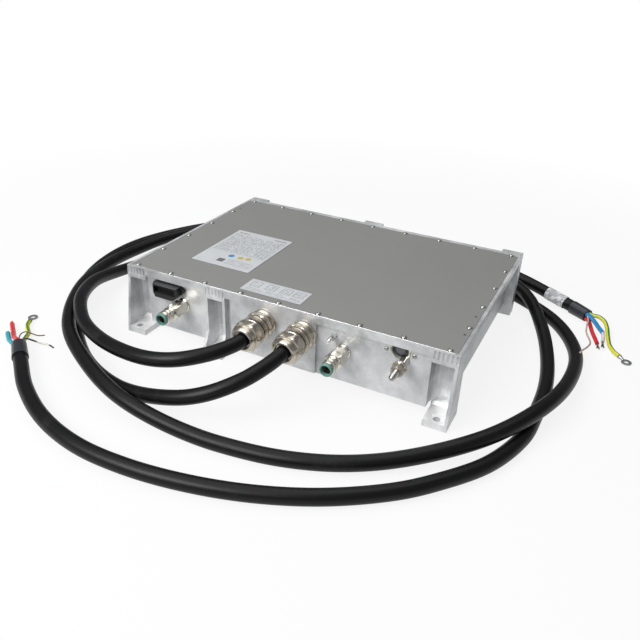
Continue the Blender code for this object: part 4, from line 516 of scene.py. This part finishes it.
def sheet_metal():
    """Matte grey coat: a very fine sparkle, soft wide clouds and a few dull rub marks."""
    finish = Finish("cover_coat", (0.245, 0.245, 0.232), 0.0, 0.62)
    sparkle = finish.noise(finish.place(), 2600.0, 1.0)
    clouds = finish.noise(finish.place(), 7.0, 3.0)
    streaks = finish.noise(finish.stretched(finish.place(), (60.0, 14.0, 40.0)), 1.0, 5.0, 0.7)
    rubs = finish.between(streaks, 0.62, 0.8)
    finish.set("Base Color", finish.mix(clouds * 0.6 + sparkle * 0.4, (0.172, 0.172, 0.163),
                                        (0.212, 0.212, 0.202)))
    finish.set("Roughness", 0.58 + clouds * 0.10 + rubs * 0.10)
    finish.bump(sparkle * 0.5 + clouds * 0.2, 0.06, 0.0002)
    return finish


def rounded_sheet(low, high, corner, steps=6):
    """The outline of a sheet with round corners, in plan."""
    left, right = low[0] + corner, high[0] - corner
    front, back = low[1] + corner, high[1] - corner
    points = []
    for x, y, first in ((right, back, 0), (left, back, 90), (left, front, 180), (right, front, 270)):
        for step in range(steps + 1):
            angle = math.radians(first + 90.0 * step / steps)
            points.append((x + corner * math.cos(angle), y + corner * math.sin(angle)))
    return points


def sheet_mesh(outline, low_z, high_z, edge):
    """A flat sheet with its top edge rounded off."""
    mesh = bmesh.new()
    face = mesh.faces.new([mesh.verts.new((x, y, low_z)) for x, y in outline])
    walls = bmesh.ops.extrude_face_region(mesh, geom=[face])
    moved = [v for v in walls["geom"] if isinstance(v, bmesh.types.BMVert)]
    bmesh.ops.translate(mesh, verts=moved, vec=(0.0, 0.0, high_z - low_z))
    top = [e for e in mesh.edges if all(v in moved for v in e.verts)]
    bmesh.ops.bevel(mesh, geom=top, offset=edge, segments=3, profile=0.5, affect="EDGES")
    return mesh


COVER = sheet_metal()
BARE_EDGE = metal("bare_cut_edge", (0.72, 0.73, 0.73), 0.28)
cover_outline = rounded_sheet((-COVER_X, SHIFT.y - COVER_Y), (COVER_X, SHIFT.y + COVER_Y), COVER_CORNER)
cover_mesh = sheet_mesh(cover_outline, COVER_LOW, COVER_TOP, BROKEN_EDGE)
cover = dressed("cover_sheet", cover_mesh, COVER, "cover_plate")
cover.data.materials.append(BARE_EDGE.material)
for face in cover.data.polygons:
    if face.normal.z < 0.95:
        face.material_index = 1


def lathe(profile, sides, flats=0.0, closed=False):
    """Rings round the z axis. Each step is (radius, height), and a third value mills it to a hexagon.
    A closed profile gives a ring with a hole, and an open one is capped at both ends.
    """
    mesh = bmesh.new()
    rings = []
    for radius, height, *milled in profile:
        ring = []
        for k in range(sides):
            angle = math.tau * k / sides
            from_flat = (angle + math.pi / 6) % (math.pi / 3) - math.pi / 6
            span = min(radius, flats / 2 / math.cos(from_flat)) if milled else radius
            ring.append(mesh.verts.new((span * math.cos(angle), span * math.sin(angle), height)))
        rings.append(ring)
    next_rings = rings[1:] + rings[:1] if closed else rings[1:]
    for low, high in zip(rings, next_rings):
        for k in range(sides):
            mesh.faces.new((low[k], low[(k + 1) % sides], high[(k + 1) % sides], high[k]))
    if not closed:
        mesh.faces.new(rings[0])
        mesh.faces.new(rings[-1])
    return mesh


def screws_tree():
    """One screw on each point of the seed, each turned by its own random angle."""
    tree = Tree("screws_on_points", {"Screw": "Object", "Seed": "Int", "Finish": "Material"})
    screw = tree.node("GeometryNodeObjectInfo", sockets={"Object": tree.given("Screw")})
    turn = tree.node("FunctionNodeRandomValue", {"data_type": "FLOAT"},
                     {3: math.tau, "Seed": tree.given("Seed")})
    spin = tree.node("ShaderNodeCombineXYZ", sockets={"Z": turn.outputs[1]})
    set_on = tree.node("GeometryNodeInstanceOnPoints",
                       sockets={"Points": tree.given("Geometry"), "Instance": screw.outputs["Geometry"],
                                "Rotation": spin.outputs[0]})
    tree.finish_with(set_on.outputs[0], tree.given("Finish"))
    return tree


ZINC = metal("zinc_plate", (0.46, 0.46, 0.44), 0.34, 500.0)
SCREW_SOCKET = 0.0021
dome_profile = ((0.00315, 0.0), (0.00325, 0.0002), (0.0032, 0.0006), (0.0029, 0.0012), (0.0022, 0.0018),
                (0.00165, 0.0020), (0.0014, 0.0021), (0.00118, 0.0020, True), (0.0011, 0.0010, True))
dome = lathe(dome_profile, 36, SCREW_SOCKET)
bmesh.ops.recalc_face_normals(dome, faces=dome.faces)
dome_data = bpy.data.meshes.new("dome_screw")
dome.to_mesh(dome_data)
dome.free()
dome_data.shade_smooth()
dome_data.set_sharp_from_angle(angle=math.radians(35.0))
dome_screw = bpy.data.objects.new("dome_screw", dome_data)
scene.collection.objects.link(dome_screw)
places = []
for i in range(SCREWS_ALONG):
    x = -END_SCREW_X + i * 2 * END_SCREW_X / (SCREWS_ALONG - 1)
    places += [(x, SHIFT.y + side * SCREW_Y, COVER_TOP) for side in (-1, 1)]
for i in range(1, SCREWS_UP + 1):
    y = SHIFT.y - SCREW_Y + i * 2 * SCREW_Y / (SCREWS_UP + 1)
    places += [(side * SCREW_X, y, COVER_TOP) for side in (-1, 1)]
screw_seed = bpy.data.meshes.new("cover_screw_places")
screw_seed.from_pydata(places, [], [])
cover_screws = grown("cover_screws", screw_seed, screws_tree(),
                     {"Screw": dome_screw, "Seed": 7, "Finish": ZINC.material})
bpy.data.objects.remove(dome_screw, do_unlink=True)
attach(cover_screws, "root")

# Painted shade: each dowel hole is a flat black disc laid on the cover instead of a real hole.
HOLE_SHADE_PAINT = Finish("hole_shadow", (0.010, 0.010, 0.010), 0.0, 0.8)
HOLE_SHADE_PAINT.set("Roughness", 0.7 + HOLE_SHADE_PAINT.noise(HOLE_SHADE_PAINT.place(), 900.0) * 0.2)
DOWEL_HOLES = ((0.2145, -0.1030), (0.2145, -0.0560), (-0.2138, 0.1050))
for number, (x, y) in enumerate(DOWEL_HOLES, start=1):
    hole = lathe(((0.0015, 0.00002), (0.0014, 0.00006), (0.0008, 0.00005), (0.0003, 0.00004)), 24)
    bmesh.ops.translate(hole, verts=hole.verts, vec=(x, y + SHIFT.y, COVER_TOP))
    dressed(f"dowel_hole_{number}", hole, HOLE_SHADE_PAINT, None)

# The two cable glands
# Turned brass with warm nickel plate: a wide hexagon against the pad, ribs, a black ring in the
# groove, and a dome nut with six flats and a smooth round mouth that squeezes the cable's seal.
GLAND_HEIGHT = 0.066
GLAND_FLATS = 0.0350
GLAND_TURN = math.radians(30.0)
NICKEL = metal("warm_nickel", (0.60, 0.55, 0.47), 0.24, 300.0, 0.12, 0.12)
RUBBER = Finish("seal_rubber", (0.012, 0.012, 0.012), 0.0, 0.55)
RUBBER.bump(RUBBER.noise(RUBBER.place(), 900.0, 2.0), 0.2, 0.0003)
FACING = Matrix(((1, 0, 0, 0), (0, 0, -1, 0), (0, 1, 0, 0), (0, 0, 0, 1)))


def spun(name, profile, place, finish, node, flats=0.0, turn=0.0, sides=72, closed=False):
    """A turned piece that stands out from the front wall."""
    mesh = lathe(profile, sides, flats, closed)
    bmesh.ops.transform(mesh, verts=mesh.verts,
                        matrix=Matrix.Translation(place) @ FACING @ Matrix.Rotation(turn, 4, "Z"))
    return dressed(name, mesh, finish, node)


def gland(side, x):
    """A gland's body, the ring in its groove and its dome nut."""
    place = (x, PAD, GLAND_HEIGHT)
    spun(side + "_gland_turned_body", (
        (0.0140, 0.0003), (0.0170, 0.0003), (0.0172, 0.0008), (0.0172, 0.0034), (0.0158, 0.0042),
        (0.0158, 0.0056), (0.0174, 0.0062), (0.0178, 0.0070), (0.0174, 0.0080), (0.0160, 0.0086),
        (0.0160, 0.0098), (0.0176, 0.0102, True), (0.0190, 0.0112, True), (0.0190, 0.0150, True),
        (0.0176, 0.0160, True), (0.0158, 0.0164), (0.0158, 0.0176), (0.0172, 0.0182), (0.0175, 0.0192),
        (0.0172, 0.0202), (0.0158, 0.0208), (0.0158, 0.0220), (0.0168, 0.0224), (0.0168, 0.0236),
        (0.0150, 0.0242), (0.0150, 0.0255)),
        place, NICKEL, side + "_gland_body", GLAND_FLATS, GLAND_TURN)
    spun(side + "_gland_ring", (
        (0.0152, 0.0234), (0.0160, 0.0237), (0.0163, 0.0247), (0.0160, 0.0257), (0.0152, 0.0259)),
        place, RUBBER, None)
    spun(side + "_gland_dome", (
        (0.0140, 0.0262), (0.0164, 0.0262), (0.0170, 0.0268), (0.0170, 0.0292), (0.0162, 0.0298),
        (0.0162, 0.0306), (0.0176, 0.0310, True), (0.0192, 0.0322, True), (0.0192, 0.0404, True),
        (0.0176, 0.0418, True), (0.0160, 0.0422), (0.0156, 0.0430), (0.0158, 0.0440), (0.0154, 0.0468),
        (0.0144, 0.0486), (0.0130, 0.0497), (0.0118, 0.0500), (0.0108, 0.0496),
        (0.0104, 0.0488), (0.0104, 0.0460), (0.0093, 0.0458)),
        place, NICKEL, side + "_gland_nut", GLAND_FLATS, GLAND_TURN)


gland("left", -0.0160)
gland("right", 0.0380)

# The coolant fittings
# Nickel plated push-in fittings with a waist, a hexagon for the spanner, a bright collar and a
# green release ring that is pressed in to free the tube.
FITTING_FLATS = 0.0195
FITTING_TURN = math.radians(15.0)
RELEASE_GREEN = Finish("release_green", (0.06, 0.26, 0.22), 0.0, 0.32)
RELEASE_GREEN.set("Roughness", 0.28 + RELEASE_GREEN.noise(RELEASE_GREEN.place(), 300.0) * 0.14)
RELEASE_GREEN.set("Base Color", RELEASE_GREEN.mix(RELEASE_GREEN.noise(RELEASE_GREEN.place(), 120.0),
                                                  (0.08, 0.20, 0.17), (0.16, 0.32, 0.27)))
CREAM = metal("bright_collar", (0.74, 0.71, 0.62), 0.22, 300.0)


def fitting(name, x, z):
    """A push-in fitting and its release ring."""
    place = (x, WALL, z)
    spun("coolant_" + name + "_turned", (
        (0.0078, 0.0003), (0.0090, 0.0003), (0.0090, 0.0020), (0.0080, 0.0028), (0.0080, 0.0088),
        (0.0097, 0.0094, True), (0.0112, 0.0108, True), (0.0112, 0.0262, True), (0.0097, 0.0278, True),
        (0.0084, 0.0282), (0.0076, 0.0290), (0.0074, 0.0312), (0.0082, 0.0318), (0.0085, 0.0328),
        (0.0085, 0.0366), (0.0082, 0.0372), (0.0085, 0.0378), (0.0085, 0.0422), (0.0081, 0.0432),
        (0.0064, 0.0434), (0.0056, 0.0434), (0.0056, 0.0330)),
        place, CREAM, "coolant_" + name + "_fitting", FITTING_FLATS, FITTING_TURN)
    # Partly a real black O-ring and partly painted shade: a black rubber disc fills the bore so that it reads
    # dark.
    spun("coolant_" + name + "_tube_seal", (
        (0.0020, 0.0336), (0.0054, 0.0336), (0.0055, 0.0350), (0.0050, 0.0362), (0.0020, 0.0362)),
        place, RUBBER, None)
    spun("coolant_" + name + "_release", (
        (0.0058, 0.0436), (0.0078, 0.0436), (0.0081, 0.0442), (0.0081, 0.0462), (0.0076, 0.0472),
        (0.0068, 0.0475), (0.0062, 0.0473), (0.0060, 0.0466), (0.0059, 0.0440), (0.0057, 0.0438)),
        place, RELEASE_GREEN, "coolant_" + name + "_ring", closed=True)


fitting("inlet", -0.1370, 0.0560)
fitting("outlet", 0.0890, 0.0565)

# The ground stud, the hexagon standoff and the vent
# A plated steel stud with a washer and a flange nut, a slim standoff screwed into the wall, and a
# black vent plug in a shallow round recess under the rim, with a screw on each side.
STEEL = metal("plated_steel", (0.58, 0.58, 0.56), 0.26, 420.0)
BLACK = Finish("moulded_black", (0.014, 0.014, 0.015), 0.0, 0.38)
BLACK.set("Roughness", 0.32 + BLACK.noise(BLACK.place(), 260.0, 3.0) * 0.18)
BLACK.bump(BLACK.noise(BLACK.place(), 1400.0, 2.0), 0.12, 0.0002)
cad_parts["signal_connector"].data.materials[0] = BLACK.material
STUD_CORE = 0.0036
THREAD_DEPTH = 0.0003
THREAD_STEP = 0.0005
THREAD_START = 0.0275
STUD_PLACE = (0.1630, WALL, 0.0670)
thread = [(STUD_CORE + THREAD_DEPTH * (k % 2), THREAD_START + THREAD_STEP * k) for k in range(25)]
spun("ground_stud_turned", (
    (0.0056, 0.0003), (0.0056, 0.0134), (0.0050, 0.0140), (0.0039, 0.0141), *thread,
    (0.0032, 0.0402), (0.0026, 0.0412), (0.0020, 0.0418), (0.0012, 0.0420)),
    STUD_PLACE, STEEL, "ground_stud")
spun("ground_washer_turned", (
    (0.0044, 0.0143), (0.0080, 0.0143), (0.0082, 0.0146), (0.0082, 0.0158), (0.0080, 0.0160),
    (0.0044, 0.0160)),
    STUD_PLACE, STEEL, "ground_washer")
spun("ground_nut_turned", (
    (0.0044, 0.0163), (0.0084, 0.0163), (0.0086, 0.0168), (0.0084, 0.0176), (0.0070, 0.0184, True),
    (0.0074, 0.0192, True), (0.0074, 0.0262, True), (0.0066, 0.0274, True), (0.0048, 0.0276),
    (0.0041, 0.0270)),
    STUD_PLACE, NICKEL, "ground_nut", flats=0.0130)
BRIGHT = metal("bright_plate", (0.80, 0.80, 0.79), 0.16, 500.0)
spun("hex_standoff_turned", (
    (0.0022, 0.0003), (0.0029, 0.0003, True), (0.0033, 0.0008, True), (0.0033, 0.0144, True),
    (0.0029, 0.0150, True), (0.0023, 0.0151), (0.0023, 0.0184), (0.0018, 0.0190)),
    (0.0770, WALL, 0.0740), BRIGHT, "hex_standoff", flats=0.0058)
VENT_X = 0.1570
VENT_Z = 0.0788
spun("vent_recess_lip", (
    (0.0098, 0.0001), (0.0100, 0.0008), (0.0112, 0.0012), (0.0120, 0.0007), (0.0122, 0.0001)),
    (VENT_X, WALL, VENT_Z), CREAM, None, closed=True)
MEMBRANE = Finish("vent_membrane", (0.030, 0.030, 0.032), 0.0, 0.45)
axes = MEMBRANE.node("ShaderNodeSeparateXYZ", {}, {0: MEMBRANE.place()})
across_mm = (axes - VENT_X) * 1000.0
up_mm = (Value(MEMBRANE, axes.socket.node.outputs["Z"]) - VENT_Z) * 1000.0
disc = MEMBRANE.between(across_mm * across_mm + up_mm * up_mm, 40.0, 28.0)
MEMBRANE.set("Base Color", MEMBRANE.mix(disc, (0.012, 0.012, 0.013), (0.085, 0.090, 0.095)))
MEMBRANE.bump(disc, 0.5, 0.0006)
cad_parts["vent_plug"].data.materials[0] = MEMBRANE.material
for node, x, z in (("connector_screw_left", -0.1789, 0.0770), ("connector_screw_right", -0.1361, 0.0770),
                   ("vent_screw_left", 0.1405, 0.0760), ("vent_screw_right", 0.1735, 0.0760)):
    spun(node + "_turned", (
        (0.0023, 0.0002), (0.0024, 0.0004), (0.0023, 0.0011), (0.0018, 0.0016), (0.0013, 0.0017),
        (0.0010, 0.0016, True), (0.0009, 0.0009, True)),
        (x, WALL, z), ZINC, node, flats=0.0018, turn=0.3, sides=36)

# The two labels
# Silver-white printed film, stuck flat on the cover. The print is only rows of short grey bars,
# plain boxes and a few coloured spots.
FILM_LOW = 0.0933
FILM_TOP = 0.0936


class Print:
    """Flat shapes of ink on a label, in millimetres from its low corner."""

    def __init__(self, finish, corner):
        self.finish = finish
        axes = finish.node("ShaderNodeSeparateXYZ", {}, {0: finish.place()})
        self.x = (axes - corner[0]) * 1000.0
        self.y = (Value(finish, axes.socket.node.outputs["Y"]) - corner[1]) * 1000.0
        self.tone = None

    def inside(self, value, low, high):
        over = self.finish.maths("GREATER_THAN", value, low)
        return over * self.finish.maths("LESS_THAN", value, high)

    def box(self, low_x, low_y, high_x, high_y):
        return self.inside(self.x, low_x, high_x) * self.inside(self.y, low_y, high_y)

    def ink(self, mask, colour):
        self.tone = self.finish.mix(mask, self.tone, colour)

    def bars(self, low_x, low_y, high_x, high_y, rows, colour, share):
        """Rows of short bars of uneven length."""
        row = (self.y - low_y) * (rows / (high_y - low_y))
        line = self.inside(self.finish.maths("FRACT", row), 0.30, 0.62)
        row_shift = self.finish.maths("FLOOR", row) * 7.3
        where = self.finish.node("ShaderNodeCombineXYZ", {}, {0: self.x * 0.55, 1: row_shift})
        level = 0.5 + (0.5 - share) * 0.3
        words = self.finish.maths("GREATER_THAN", self.finish.noise(where, 1.0, 1.0), level)
        self.ink(self.box(low_x, low_y, high_x, high_y) * line * words, colour)

    def frame(self, low_x, low_y, high_x, high_y, colour, line):
        outer = self.box(low_x, low_y, high_x, high_y)
        inner = self.box(low_x + line, low_y + line, high_x - line, high_y - line)
        self.ink(outer - inner, colour)

    def spot(self, x, y, radius, colour):
        away = (self.x - x) * (self.x - x) + (self.y - y) * (self.y - y)
        self.ink(self.finish.maths("LESS_THAN", away, radius * radius), colour)


def film(name, corner):
    """Blank label film with a faint sheen and tiny ripples."""
    finish = Finish(name, (0.66, 0.67, 0.70), 0.15, 0.36)
    ripples = finish.noise(finish.place(), 60.0, 3.0)
    finish.set("Roughness", 0.30 + ripples * 0.14)
    finish.bump(ripples, 0.10, 0.0004)
    art = Print(finish, corner)
    art.tone = finish.mix(ripples, (0.50, 0.515, 0.53), (0.58, 0.595, 0.61))
    return finish, art


def label(node, corner, size, finish):
    """One film on the cover, with small round corners."""
    outline = rounded_sheet(corner, (corner[0] + size[0], corner[1] + size[1]), 0.0012, 4)
    film_mesh = sheet_mesh(outline, FILM_LOW, FILM_TOP, 0.0001)
    dressed(node + "_film", film_mesh, finish, node)


DARK_INK = (0.08, 0.08, 0.09)
GREY_INK = (0.14, 0.145, 0.15)
PALE_INK = (0.28, 0.29, 0.30)
YELLOW_INK = (0.46, 0.40, 0.10)
rating_corner = (-0.1635, -0.0745)
RATING, art = film("rating_film", rating_corner)
art.bars(6, 108, 22, 113, 1, DARK_INK, 0.9)
art.bars(64, 108, 84, 113, 1, DARK_INK, 0.9)
art.bars(5, 44, 84, 104, 15, GREY_INK, 0.55)
art.frame(4, 42, 85, 106, PALE_INK, 0.35)
art.bars(45, 8, 84, 24, 4, PALE_INK, 0.6)
art.ink(art.box(31, 11, 41, 21), GREY_INK)
art.spot(41.5, 33.5, 4.4, (0.06, 0.24, 0.40))
art.spot(56.0, 33.5, 4.2, YELLOW_INK)
art.spot(67.0, 35.0, 4.2, YELLOW_INK)
RATING.set("Base Color", art.tone)
label("rating_label", rating_corner, (0.0890, 0.1180), RATING)
handling_corner = (-0.0600, -0.1165)
HANDLING, art = film("handling_film", handling_corner)
art.frame(1.2, 1.2, 83.3, 30.3, PALE_INK, 0.4)
for x in (12, 34, 55, 73):
    art.frame(x - 7, 13, x + 7, 27, GREY_INK, 0.7)
    art.bars(x - 5, 15, x + 5, 25, 3, GREY_INK, 0.5)
art.bars(5, 3, 80, 10, 3, GREY_INK, 0.5)
HANDLING.set("Base Color", art.tone)
label("handling_label", handling_corner, (0.0845, 0.0315), HANDLING)

# The cable ends
# Each jacket is cut back and shrink sleeved, and the cores come out of it: red, blue and
# yellow-green, the last with a crimped ring lug. A creased white tag is wrapped round one cable.
SLEEVE_BLACK = Finish("shrink_sleeve", (0.020, 0.022, 0.028), 0.0, 0.28)
SLEEVE_BLACK.set("Roughness", 0.22 + SLEEVE_BLACK.noise(SLEEVE_BLACK.place(), 180.0, 3.0) * 0.2)
SLEEVE_BLACK.bump(SLEEVE_BLACK.noise(SLEEVE_BLACK.place(), 240.0, 3.0), 0.3, 0.0006)
TAG = Finish("tag_film", (0.66, 0.67, 0.68), 0.0, 0.42)
creases = TAG.noise(TAG.place(), 170.0, 3.0, 0.6)
fold_shade_and_light = TAG.between(TAG.noise(TAG.stretched(TAG.place(), (90.0, 260.0, 120.0)), 1.0, 2.0), 0.40, 0.60)
# Painted shade and light: dark and light bands are painted along the folds of the white film, besides their
# bump.
TAG.set("Base Color", TAG.mix(fold_shade_and_light, (0.42, 0.43, 0.45), (0.80, 0.81, 0.82)))
TAG.bump(creases * 0.6 + fold_shade_and_light, 0.9, 0.0012)
core_finishes = {}
for word, dark, light in (("red", (0.42, 0.010, 0.020), (0.60, 0.03, 0.04)),
                          ("blue", (0.015, 0.16, 0.38), (0.03, 0.26, 0.52))):
    finish = Finish("core_" + word + "_jacket", light, 0.0, 0.34)
    patches = finish.noise(finish.place(), 140.0, 3.0)
    finish.set("Base Color", finish.mix(patches, dark, light))
    finish.set("Roughness", 0.28 + patches * 0.16)
    finish.bump(finish.noise(finish.place(), 800.0, 2.0), 0.12, 0.0003)
    core_finishes[word] = finish
EARTH = Finish("core_earth_jacket", (0.55, 0.62, 0.03), 0.0, 0.34)
mark = EARTH.node("ShaderNodeAttribute", {"attribute_name": "round_a"}, out="Fac")
dirt = EARTH.noise(EARTH.place(), 160.0, 3.0)
yellow = EARTH.mix(dirt, (0.46, 0.44, 0.03), (0.66, 0.64, 0.05))
EARTH.set("Base Color", EARTH.mix(EARTH.between(mark * mark, 0.72, 0.84), yellow, (0.05, 0.17, 0.03)))
EARTH.set("Roughness", 0.28 + dirt * 0.14)
BROWN = Finish("thin_wire_jacket", (0.16, 0.10, 0.07), 0.0, 0.4)
BROWN.set("Base Color", BROWN.mix(BROWN.noise(BROWN.place(), 200.0), (0.10, 0.06, 0.045),
                                  (0.24, 0.16, 0.11)))
BEIGE = Finish("beige_wire_jacket", (0.50, 0.38, 0.31), 0.0, 0.4)
BEIGE.set("Base Color", BEIGE.mix(BEIGE.noise(BEIGE.place(), 160.0), (0.36, 0.26, 0.21),
                                  (0.54, 0.42, 0.35)))
WHITE_TIP = Finish("white_core_jacket", (0.62, 0.62, 0.62), 0.0, 0.4)
WHITE_TIP.set("Base Color", WHITE_TIP.mix(WHITE_TIP.noise(WHITE_TIP.place(), 220.0), (0.46, 0.45, 0.46),
                                          (0.70, 0.69, 0.70)))
COPPER = metal("tinned_strands", (0.40, 0.34, 0.30), 0.42, 600.0)
LUG_TIN = metal("lug_tin", (0.40, 0.41, 0.42), 0.46, 500.0, dull=0.15)
TEAL = Finish("core_teal_jacket", (0.02, 0.30, 0.36), 0.0, 0.34)
TEAL.set("Base Color", TEAL.mix(TEAL.noise(TEAL.place(), 140.0), (0.015, 0.20, 0.26), (0.04, 0.36, 0.42)))
CLEAR = Finish("clear_tube_wire", (0.5, 0.5, 0.46), 0.0, 0.25)
along_x = CLEAR.node("ShaderNodeSeparateXYZ", {}, {0: CLEAR.place()})
tube = CLEAR.between(along_x, -0.3000, -0.2985) - CLEAR.between(along_x, -0.2830, -0.2820)
CLEAR.set("Base Color", CLEAR.mix(tube, (0.06, 0.055, 0.05), (0.56, 0.56, 0.50)))
CORE_RADIUS = 0.0029
STRAND_RADIUS = 0.00055
LEFT_START = Vector((-0.3016, -0.2689, 0.0086))
LEFT_WAY = Vector((-0.78, 0.62, 0.0))
RIGHT_START = Vector((0.3284, 0.1864, 0.0126))
RIGHT_WAY = Vector((0.80, -0.60, 0.0))


def wire(name, route, radius, finish, node=None, sides=14):
    """A core or a thin wire that bends by hand from the jacket's end."""
    points = [Vector(route[0]) + SHIFT] + smooth_line(route[1:], 0.0025, route[0])
    made = sleeve(name, points, radius, sides, finish)
    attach(made, "root")
    if node:
        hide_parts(node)
    return made


def strands(name, tip, way, length, spread, count):
    """The bare tinned strands at a core's end, a little splayed."""
    tip, way = Vector(tip) + SHIFT, Vector(way).normalized()
    up = Vector((0.0, 0.0, 1.0))
    side = way.cross(up)
    corners, edges = [], []
    for i in range(count):
        angle = 2.4 * i
        out = (side * math.cos(angle) + up * math.sin(angle)) * (0.4 + 0.6 * i / count)
        reach = length * (0.75 + 0.25 * math.sin(5.0 * i))
        for k in range(5):
            corners.append(tip + way * reach * k / 4 + out * (0.0011 + spread * (k / 4) ** 2))
            if k:
                edges.append((len(corners) - 2, len(corners) - 1))
    seed = bpy.data.meshes.new(name + "_lines")
    seed.from_pydata(corners, edges, [])
    made = grown(name, seed, SLEEVE, {"Radius": STRAND_RADIUS, "Sides": 6, "Finish": COPPER.material})
    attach(made, "root")
    return made


left_extra = [
    wire("left_earth_jacket", (
        LEFT_START, LEFT_START + LEFT_WAY * 0.006, (-0.3170, -0.2500, 0.0065),
        (-0.3260, -0.2380, 0.0040), (-0.3370, -0.2300, 0.0034), (-0.3450, -0.2230, 0.0034),
        (-0.3500, -0.2150, 0.0034)), CORE_RADIUS, EARTH, "left_core_earth", 20),
    wire("left_thin_wire", (
        (-0.3050, -0.2712, 0.0100), (-0.3121, -0.2641, 0.0130), (-0.3171, -0.2562, 0.0145),
        (-0.3175, -0.2489, 0.0138), (-0.3137, -0.2444, 0.0105), (-0.3085, -0.2378, 0.0050),
        (-0.3061, -0.2298, 0.0022)), 0.0008, BROWN),
    strands("left_red_strands", (-0.3652, -0.2308, 0.0036), (-0.793, 0.610, 0.0), 0.006, 0.0004, 7)]
right_extra = [
    wire("right_earth_jacket", (
        RIGHT_START, RIGHT_START + RIGHT_WAY * 0.006, (0.3400, 0.1830, 0.0130),
        (0.3490, 0.1790, 0.0105), (0.3550, 0.1650, 0.0080), (0.3592, 0.1440, 0.0050),
        (0.3640, 0.1230, 0.0034), (0.3715, 0.1080, 0.0034), (0.3780, 0.1010, 0.0034)),
        CORE_RADIUS, EARTH, "right_core_earth", 20),
    wire("right_thin_wire", (
        (0.3255, 0.1800, 0.0130), (0.3290, 0.1640, 0.0128), (0.3290, 0.1509, 0.0115),
        (0.3311, 0.1349, 0.0085), (0.3391, 0.1154, 0.0060), (0.3370, 0.0849, 0.0130),
        (0.3330, 0.0620, 0.0200), (0.3314, 0.0475, 0.0240)), 0.0012, BEIGE),
    wire("right_white_core", (
        (0.3517, 0.1486, 0.0064), (0.3528, 0.1440, 0.0058), (0.3538, 0.1360, 0.0048),
        (0.3542, 0.1280, 0.0040)), 0.0024, WHITE_TIP),
    strands("right_red_strands", (0.3481, 0.1197, 0.0036), (0.20, -0.98, 0.0), 0.0145, 0.0014, 13),
    strands("right_white_strands", (0.3542, 0.1278, 0.0040), (0.10, -0.99, -0.02), 0.0165, 0.0015, 13)]
end_finishes = {
    "left_core_red": core_finishes["red"], "left_core_blue": TEAL, "left_core_signal": CLEAR,
    "right_core_red": core_finishes["red"], "right_core_blue": core_finishes["blue"],
    "left_ring_lug": LUG_TIN, "right_ring_lug": LUG_TIN,
    "left_cable_boot": SLEEVE_BLACK, "right_cable_boot": SLEEVE_BLACK, "cable_tag": TAG,
    "left_gland_seal": RUBBER, "right_gland_seal": RUBBER}
for node, finish in end_finishes.items():
    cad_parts[node].data.materials[0] = finish.material
left_end = ("left_cable_boot", "left_core_red", "left_core_blue", "left_core_signal", "left_ring_lug",
            *left_extra)
right_end = ("cable_tag", "right_cable_boot", "right_core_red", "right_core_blue", "right_ring_lug",
             *right_extra)
for jacket, points, ends in ((left_cable, left_points, left_end), (right_cable, right_points, right_end)):
    length_of(points)

# The parts inside the case
# Boards, transformers, potted chokes, terminal blocks and gaskets. None of them shows while the
# cover is on.
BOARD = Finish("solder_mask", (0.02, 0.14, 0.05), 0.0, 0.45)
tracks = BOARD.between(BOARD.noise(BOARD.place(), 220.0, 2.0), 0.52, 0.58)
BOARD.set("Base Color", BOARD.mix(tracks, (0.015, 0.12, 0.045), (0.05, 0.22, 0.09)))
POTTED = Finish("potting_and_ferrite", (0.06, 0.06, 0.07), 0.0, 0.55)
POTTED.bump(POTTED.noise(POTTED.place(), 300.0, 3.0), 0.3, 0.0004)
inside_finishes = {"transformer": POTTED, "choke": POTTED, "capacitor": POTTED, "relay": POTTED,
                   "terminal": POTTED, "board": BOARD, "spacer": NICKEL, "locknut": NICKEL,
                   "gasket": RUBBER}
for node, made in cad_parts.items():
    words = [word for word in inside_finishes if word in node]
    if words:
        made.data.materials[0] = inside_finishes[words[-1]].material
